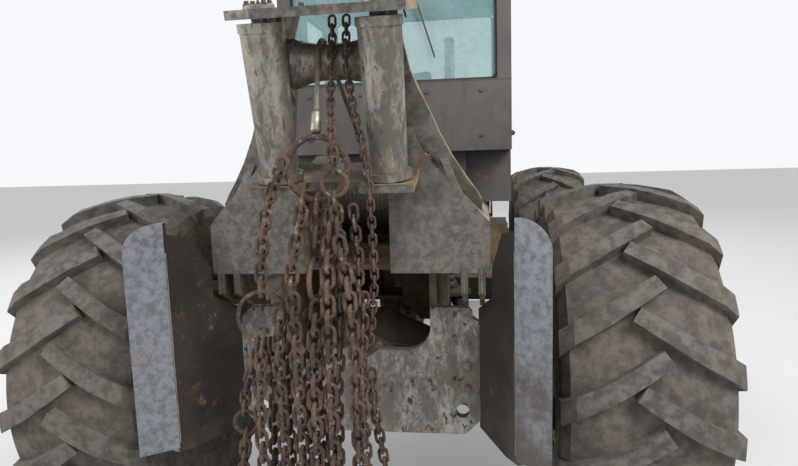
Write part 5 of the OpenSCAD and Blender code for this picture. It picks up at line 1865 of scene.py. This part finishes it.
@dataclass
class Hood:
    """Louvres, latches, bands and bolts of the hood, and the grille's screen."""

    side: float = 0.450
    start: float = REAR_AXLE + 2.112
    end: float = FRONT_AXLE + 0.860

    def louvre(self, work: Former, s: int, y: float, z: float) -> None:
        """One pressed louvre in a side panel.

        Args:
            work: the mesh it goes into.
            s: 1 on the right, -1 on the left.
            y: its middle along the hood.
            z: its middle's height.
        """
        rings = []
        for t in (-0.062, -0.055, 0.0, 0.055, 0.062):
            out = 0.002 if abs(t) > 0.06 else 0.016
            rings.append([Vector((s * (self.side - 0.003), y - 0.012, z + t)),
                          Vector((s * (self.side + out), y - 0.012, z + t)),
                          Vector((s * (self.side + out * 0.55), y + 0.004, z + t)),
                          Vector((s * (self.side - 0.003), y + 0.016, z + t))])
        work.loft(rings)

    def panels(self) -> None:
        """Louvres, latches, handles and bands."""
        vents = Former("hood_louvres")
        latches = Former("hood_latches")
        bands = Former("hood_bands")
        bolts = Former("hood_bolts")
        for s in (1, -1):
            for z in (1.50, 1.68):
                for k in range(13):
                    self.louvre(vents, s, self.start + 0.16 + k * 0.045, z)
                for k in range(9):
                    self.louvre(vents, s, self.start + 0.92 + k * 0.045, z)
            for y in (self.start + 0.09, self.start + 0.80, self.end - 0.10):
                latches.lathe((s * self.side, y, 1.400), (s, 0, 0), [
                    (0, 0.020), (0.006, 0.020), (0.008, 0.012), (0.022, 0.012), (0.024, 0.009)], 16)
                latches.tube([(s * 0.470, y, 1.400), (s * 0.478, y, 1.440), (s * 0.462, y, 1.470),
                              (s * 0.452, y, 1.474)], 0.0045, 8)
                bolts.bolt((s * self.side, y + 0.03, 1.815), (s, 0, 0), 0.018, 0.009)
        outline = [(-0.450, 1.335), (-0.450, 1.860), (-0.380, 1.930), (0.380, 1.930),
                   (0.450, 1.860), (0.450, 1.335)]
        for y in (self.start + 0.008, self.start + 0.84, self.end - 0.012):
            bands.tube([(x, y, z) for x, z in outline], 0.0065, 8)
        for y in (self.start + 0.30, self.start + 1.20):
            for k in range(4):
                bolts.bolt((-0.33 + 0.22 * k, y, 1.930), UP, 0.018, 0.009)
        for x in (-0.28, 0.28):
            latches.tube(smooth_row([(x, self.start + 0.50, 1.928), (x, self.start + 0.505, 1.965),
                                     (x, self.start + 0.62, 1.965), (x, self.start + 0.625, 1.928)],
                                    5), 0.007, 8)
        vents.done(Finish.HOOD, FRONT)
        latches.done(Finish.CAST, FRONT)
        bands.done(Finish.HOOD, FRONT)
        bolts.done(Finish.CAST, FRONT)

    def screen(self) -> None:
        """The wire screen behind the grille's bars, and the frame's bolts."""
        wires = Former("grille_screen")
        y = self.end + 0.030
        for k in range(27):
            z = 1.320 + k * 0.0208
            wires.tube([(-0.388, y, z), (0.388, y, z)], 0.0024, 5)
        wires.done(Finish.DARK, FRONT)
        bolts = Former("grille_bolts")
        for s in (1, -1):
            for z in (1.32, 1.50, 1.68, 1.82):
                bolts.bolt((s * 0.420, self.end + 0.070, z), (0, 1, 0), 0.020, 0.010)
        bolts.done(Finish.CAST, FRONT)

    def build(self) -> None:
        """Builds all pieces of the hood."""
        self.panels()
        self.screen()


@dataclass
class Stacks:
    """Rain cap, clamps and seams of the exhaust, and the air cleaner's bands."""

    pipe: tuple[float, float] = (0.230, FRONT_AXLE + 0.120)
    cleaner: tuple[float, float] = (-0.230, FRONT_AXLE + 0.160)
    foot: float = 1.930

    def build(self) -> None:
        """Builds the pieces of both stacks."""
        x, y = self.pipe
        work = Former("exhaust_clamps")
        for z in (0.012, 0.060, 0.360, 0.408):
            work.lathe((x, y, self.foot + z), UP, [
                (0, 0.0905), (0.002, 0.0945), (0.018, 0.0945), (0.020, 0.0905)], 40)
        work.lathe((x, y, self.foot + 0.430), UP, [
            (0, 0.0455), (0.002, 0.0510), (0.030, 0.0510), (0.032, 0.0455)], 32)
        work.bolt((x + 0.050, y, self.foot + 0.446), (1, 0, 0), 0.016, 0.014)
        work.done(Finish.EXHAUST, FRONT)
        cap = Former("rain_cap")
        top = Vector((x, y, self.foot + 0.824))
        lean = Vector((0, sin(radians(28)), cos(radians(28))))
        cap.lathe(top + Vector((0, 0.004, 0.022)), lean, [
            (-0.003, 0.049), (0.0, 0.050), (0.004, 0.047), (0.007, 0.030)], 32)
        cap.tube([top + Vector((-0.012, -0.050, -0.006)), top + Vector((0.012, -0.050, -0.006))],
                 0.006, 8)
        cap.tube([top + Vector((0, -0.050, -0.004)), top + Vector((0, -0.020, 0.012)),
                  top + Vector((0, 0.006, 0.026))], 0.006, 8)
        cap.lathe(top + Vector((0, -0.058, -0.010)), (0, -1, -0.3), [
            (0, 0.008), (0.004, 0.013), (0.022, 0.013), (0.026, 0.009)], 14)
        cap.done(Finish.EXHAUST, FRONT)
        x, y = self.cleaner
        bands = Former("air_cleaner_bands")
        for z in (0.030, 0.350):
            bands.lathe((x, y, self.foot + z), UP, [
                (0, 0.0555), (0.002, 0.0590), (0.022, 0.0590), (0.024, 0.0555)], 32)
            bands.bolt((x - 0.058, y, self.foot + z + 0.012), (-1, 0, 0), 0.014, 0.014)
        for z, r in ((0.390, 0.1015), (0.420, 0.1045), (0.450, 0.1080), (0.480, 0.1118)):
            bands.tube(circle_row((x, y, self.foot + z), UP, r, 48), 0.0035, 6, True)
        bands.lathe((x, y, self.foot + 0.568), UP, [
            (0, 0.031), (0.006, 0.031), (0.009, 0.020), (0.022, 0.018), (0.026, 0.008)], 20)
        bands.done(Finish.DARK, FRONT)


@dataclass
class WorkLamps:
    """Four work lamps: housings, lenses, brackets and guards."""

    out: float = 0.480
    high: float = 2.886
    guard: float = 0.0345

    def build(self) -> None:
        """Builds the lamps over their solids."""
        cases = Former("lamp_housings")
        lenses = Former("lamp_lenses")
        guards = Former("lamp_guards")
        front, back = REAR_AXLE + 2.160, REAR_AXLE + 0.870
        for s in (1, -1):
            for y, way in ((front, 1), (back, -1)):
                at, axis = Vector((s * self.out, y, self.high)), Vector((0, way, 0))
                cases.lathe(at + axis * 0.001, axis, [
                    (0, 0.020), (0.006, 0.029), (0.046, 0.0335), (0.060, 0.0355),
                    (0.069, 0.0375), (0.072, 0.0365), (0.070, 0.0310)], 32)
                lenses.lathe(at + axis * 0.0695, axis, [
                    (0, 0.0305), (0.003, 0.0290), (0.0055, 0.0200), (0.0065, 0.0060)], 32)
                face = at + axis * 0.078
                guards.tube(circle_row(face, axis, self.guard, 36), 0.0022, 6, True)
                for x in (-0.016, 0.0, 0.016):
                    half = sqrt(self.guard ** 2 - x ** 2)
                    guards.tube([face + Vector((x, 0, -half)), face + Vector((x, 0, half))],
                                0.0018, 6)
                for t in turns(4, 0.5):
                    rim = Vector((self.guard * cos(t), 0, self.guard * sin(t)))
                    guards.tube([at + axis * 0.060 + rim, face + rim], 0.0022, 6)
                cases.tube([at + axis * 0.020 + Vector((0, 0, 0.028)),
                            at + axis * 0.018 + Vector((0, 0, 0.044)),
                            at + axis * -0.010 + Vector((0, 0, 0.046))], 0.006, 8)
        cases.done(Finish.DARK, FRONT)
        guards.done(Finish.CAST, FRONT)
        piece = lenses.done(Finish.LENS, FRONT)
        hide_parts("work_lamps")


@dataclass
class RunningGear:
    """Axle covers and brake pipes, the engine's sump and the gearbox bolts."""

    def axle(self, name: str, y: float, way: int, body: str) -> None:
        """An inspection cover with bolts, and brake pipes along the housing.

        Args:
            name: the axle's name.
            y: its middle.
            way: -1 where the cover faces back.
            body: the body that carries it.
        """
        cover = Former(f"{name}_cover")
        at = Vector((0, y + way * 0.170, AXLE_Z))
        cover.lathe(at, (0, way, 0), [(0, 0.176), (0.058, 0.176), (0.064, 0.168), (0.082, 0.120),
                                      (0.090, 0.060), (0.092, 0.010)], 48)
        cover.done(Finish.CAST, body)
        bolts = Former(f"{name}_bolts")
        r = 0.152
        for t in turns(14):
            bolts.bolt(at + Vector((r * cos(t), way * 0.071, r * sin(t))), (0, way, 0),
                       0.018, 0.011)
        bolts.bolt(at + Vector((0, way * 0.090, -0.03)), (0, way, 0), 0.028, 0.012)
        bolts.done(Finish.CAST, body)
        pipes = Former(f"{name}_brake_pipes")
        for s in (1, -1):
            pipes.tube(smooth_row([(s * 0.06, y + way * 0.20, AXLE_Z + 0.135),
                                   (s * 0.24, y + way * 0.17, AXLE_Z + 0.105),
                                   (s * 0.34, y + way * 0.10, AXLE_Z + 0.090),
                                   (s * 0.60, y + way * 0.10, AXLE_Z + 0.090),
                                   (s * 0.80, y + way * 0.10, AXLE_Z + 0.091),
                                   (s * 0.845, y + way * 0.125, AXLE_Z + 0.120)], 5), 0.0058, 8)
        pipes.done(Finish.DARK, body)

    def underside(self) -> None:
        """The engine's sump and the gearbox's cover bolts."""
        sump = Former("engine_sump")
        start, end = PIVOT + 1.04, FRONT_AXLE - 0.36
        rings = []
        for z, inset in ((1.0405, 0.0), (1.028, 0.0), (1.027, 0.012), (0.960, 0.035)):
            rings.append([Vector((x * (0.215 - inset), y, z)) for x, y in (
                (-1, start + inset), (1, start + inset), (1, end), (-1, end))])
        sump.loft(rings)
        sump.bolt((0.08, start + 0.20, 0.961), DOWN, 0.030, 0.012)
        for s in (1, -1):
            for k in range(4):
                sump.bolt((s * 0.208, start + 0.02 + k * 0.052, 1.0285), DOWN, 0.013,
                          0.008)
        sump.done(Finish.CAST, FRONT)
        box = Former("gearbox_bolts")
        for s in (1, -1):
            for k in range(5):
                box.bolt((s * 0.205, PIVOT + 0.50 + k * 0.055, AXLE_Z - 0.110), DOWN, 0.018,
                         0.010)
        box.done(Finish.CAST, FRONT)

    def build(self) -> None:
        """Builds all pieces of the running gear."""
        self.axle("rear_axle", REAR_AXLE, -1, REAR)
        self.axle("front_axle", FRONT_AXLE, 1, FRONT)
        self.underside()


def place_camera() -> None:
    """Sets the camera where the photograph was taken from."""
    place, lens = (0.5252, -4.5296, 1.7646), 27.25
    yaw, pitch, roll = (radians(t) for t in (8.07, 7.50, 1.744))
    data = bpy.data.cameras.new("camera")
    data.lens, data.sensor_width = lens, 36.0
    data.clip_start, data.clip_end = 0.05, 200.0
    thing = link_up("camera", data)
    turn = (Matrix.Rotation(yaw, 4, "Z") @ Matrix.Rotation(pi / 2 - pitch, 4, "X")
            @ Matrix.Rotation(-roll, 4, "Z"))
    thing.matrix_world = Matrix.Translation(place) @ turn
    bpy.context.scene.camera = thing


class Studio:
    """The pale floor, the soft lamps and the pale world."""

    def floor(self) -> None:
        """Lays the floor just under the wheels."""
        half, z = 40.0, LOW.z - 0.001
        data = bpy.data.meshes.new("floor")
        corners = [(-half, -half, z), (half, -half, z), (half, half, z), (-half, half, z)]
        data.from_pydata(corners, [], [(0, 1, 2, 3)])
        thing = link_up("floor", data)
        s = Shader("pale_floor")
        seen = s.add("ShaderNodeLightPath", {}, {}, "Is Camera Ray")
        s.dress(Base_Color=(0.60, 0.60, 0.595), Roughness=0.9, Specular_IOR_Level=0.1,
                Emission_Color=s.mix((0.0, 0.0, 0.0), (0.20, 0.202, 0.205), seen),
                Emission_Strength=1.0)
        data.materials.append(s.material)

    def lamp(self, name: str, at: Point, toward: Point, width: float, watts: float) -> None:
        """Hangs one large square lamp.

        Args:
            name: its name.
            at: where it hangs.
            toward: the point it faces.
            width: its side.
            watts: its power.
        """
        data = bpy.data.lights.new(name, "AREA")
        data.size, data.energy = width, watts
        thing = link_up(name, data)
        thing.location = at
        thing.rotation_mode = "QUATERNION"
        thing.rotation_quaternion = (Vector(toward) - Vector(at)).to_track_quat("-Z", "Y")

    def world(self) -> None:
        """Makes a world that looks white and lights the object evenly."""
        world = bpy.data.worlds.new("world")
        bpy.context.scene.world = world
        world.use_nodes = True
        tree = world.node_tree
        tree.nodes.clear()
        new, join = tree.nodes.new, tree.links.new
        path, seen, also = (new(f"ShaderNode{kind}") for kind in ("LightPath", "Math", "Math"))
        seen.operation = also.operation = "ADD"
        also.use_clamp = True
        join(path.outputs["Is Camera Ray"], seen.inputs[0])
        join(path.outputs["Is Glossy Ray"], seen.inputs[1])
        join(seen.outputs[0], also.inputs[0])
        join(path.outputs["Is Transmission Ray"], also.inputs[1])
        blend, out = new("ShaderNodeMixShader"), new("ShaderNodeOutputWorld")
        join(also.outputs[0], blend.inputs[0])
        for slot, colour, strength in ((1, (1, 1, 1, 1), 0.55), (2, (0.93, 0.95, 0.97, 1), 1.0)):
            shown = new("ShaderNodeBackground")
            shown.inputs[0].default_value, shown.inputs[1].default_value = colour, strength
            join(shown.outputs[0], blend.inputs[slot])
        join(blend.outputs[0], out.inputs[0])

    def build(self) -> None:
        """Sets the whole studio."""
        self.floor()
        self.world()
        self.lamp("key", (5.5, -6.5, 7.5), (0, -0.8, 1.0), 4.0, 700)
        self.lamp("fill", (-7.5, -5.0, 4.5), (0, 0, 1.0), 5.0, 320)
        self.lamp("rim_light", (-3.0, 8.0, 6.5), (0, 0, 1.5), 4.0, 420)


def dress_nodes() -> None:
    """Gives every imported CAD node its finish; a name ending in _ is a pair."""
    for finish, *names in (
        (Finish.TYRE_REAR, "tyre_rear_"),
        (Finish.TYRE_FRONT, "tyre_front_"),
        (Finish.RIM, "rim_rear_", "rim_front_"),
        (Finish.CAST, "rear_axle", "front_axle", "transmission", "engine_block",
         "rear_driveshaft", "front_driveshaft"),
        (Finish.FRAME, "rear_frame", "front_frame", "winch_case", "side_tanks", "blade_arms",
         "blade"),
        (Finish.ARCH, "fairlead_arch"),
        (Finish.GUARD, "log_guards"),
        (Finish.STERN, "stern_plate"),
        (Finish.ROLLER, "roller_", "cross_roller"),
        (Finish.DARK, "winch_drum", "grille", "seat_base", "air_cleaner", "steer_barrel_",
         "lift_barrel_"),
        (Finish.ROPE, "main_line"),
        (Finish.CHAIN, "choker_chains"),
        (Finish.HOOD, "hood", "door_", "cab_roof"),
        (Finish.CAB, "cab_frame"),
        (Finish.GLASS, "cab_glass", "door_glass_"),
        (Finish.EXHAUST, "exhaust_stack"),
        (Finish.SEAT, "seat_cushion"),
        (Finish.PLASTIC, "dashboard", "steering_wheel"),
        (Finish.LENS, "work_lamps"),
        (Finish.CHROME, "steer_rod_", "lift_rod_"),
    ):
        for name in names:
            pair = (name + "left", name + "right") if name.endswith("_") else (name,)
            SHOP.coat_nodes(finish, *pair)


def build_pieces() -> None:
    """Builds every sub-assembly's own pieces."""
    ChokerChains().build()
    MainLine().build()
    for name, side, axle_y in (("rear_left", -1, REAR_AXLE), ("rear_right", 1, REAR_AXLE),
                               ("front_left", -1, FRONT_AXLE), ("front_right", 1, FRONT_AXLE)):
        Wheel(name, side, axle_y).build()
    for part in (Winch(), Arch(), SternAndGuards(), PivotHoses(), Cylinders(), FrameDetails(),
                 BladeDetails(), Cab(), Hood(), Stacks(), WorkLamps(), RunningGear(), SeatPads()):
        part.build()
        LOG.info("%s built", type(part).__name__)


def main() -> None:
    """Builds the scene in order."""
    logging.basicConfig(level=logging.INFO, format="%(name)s: %(message)s")
    place_camera()
    Studio().build()
    dress_nodes()
    build_pieces()
    bpy.context.scene.view_settings.view_transform = "Standard"


if __name__ == "__main__":
    main()
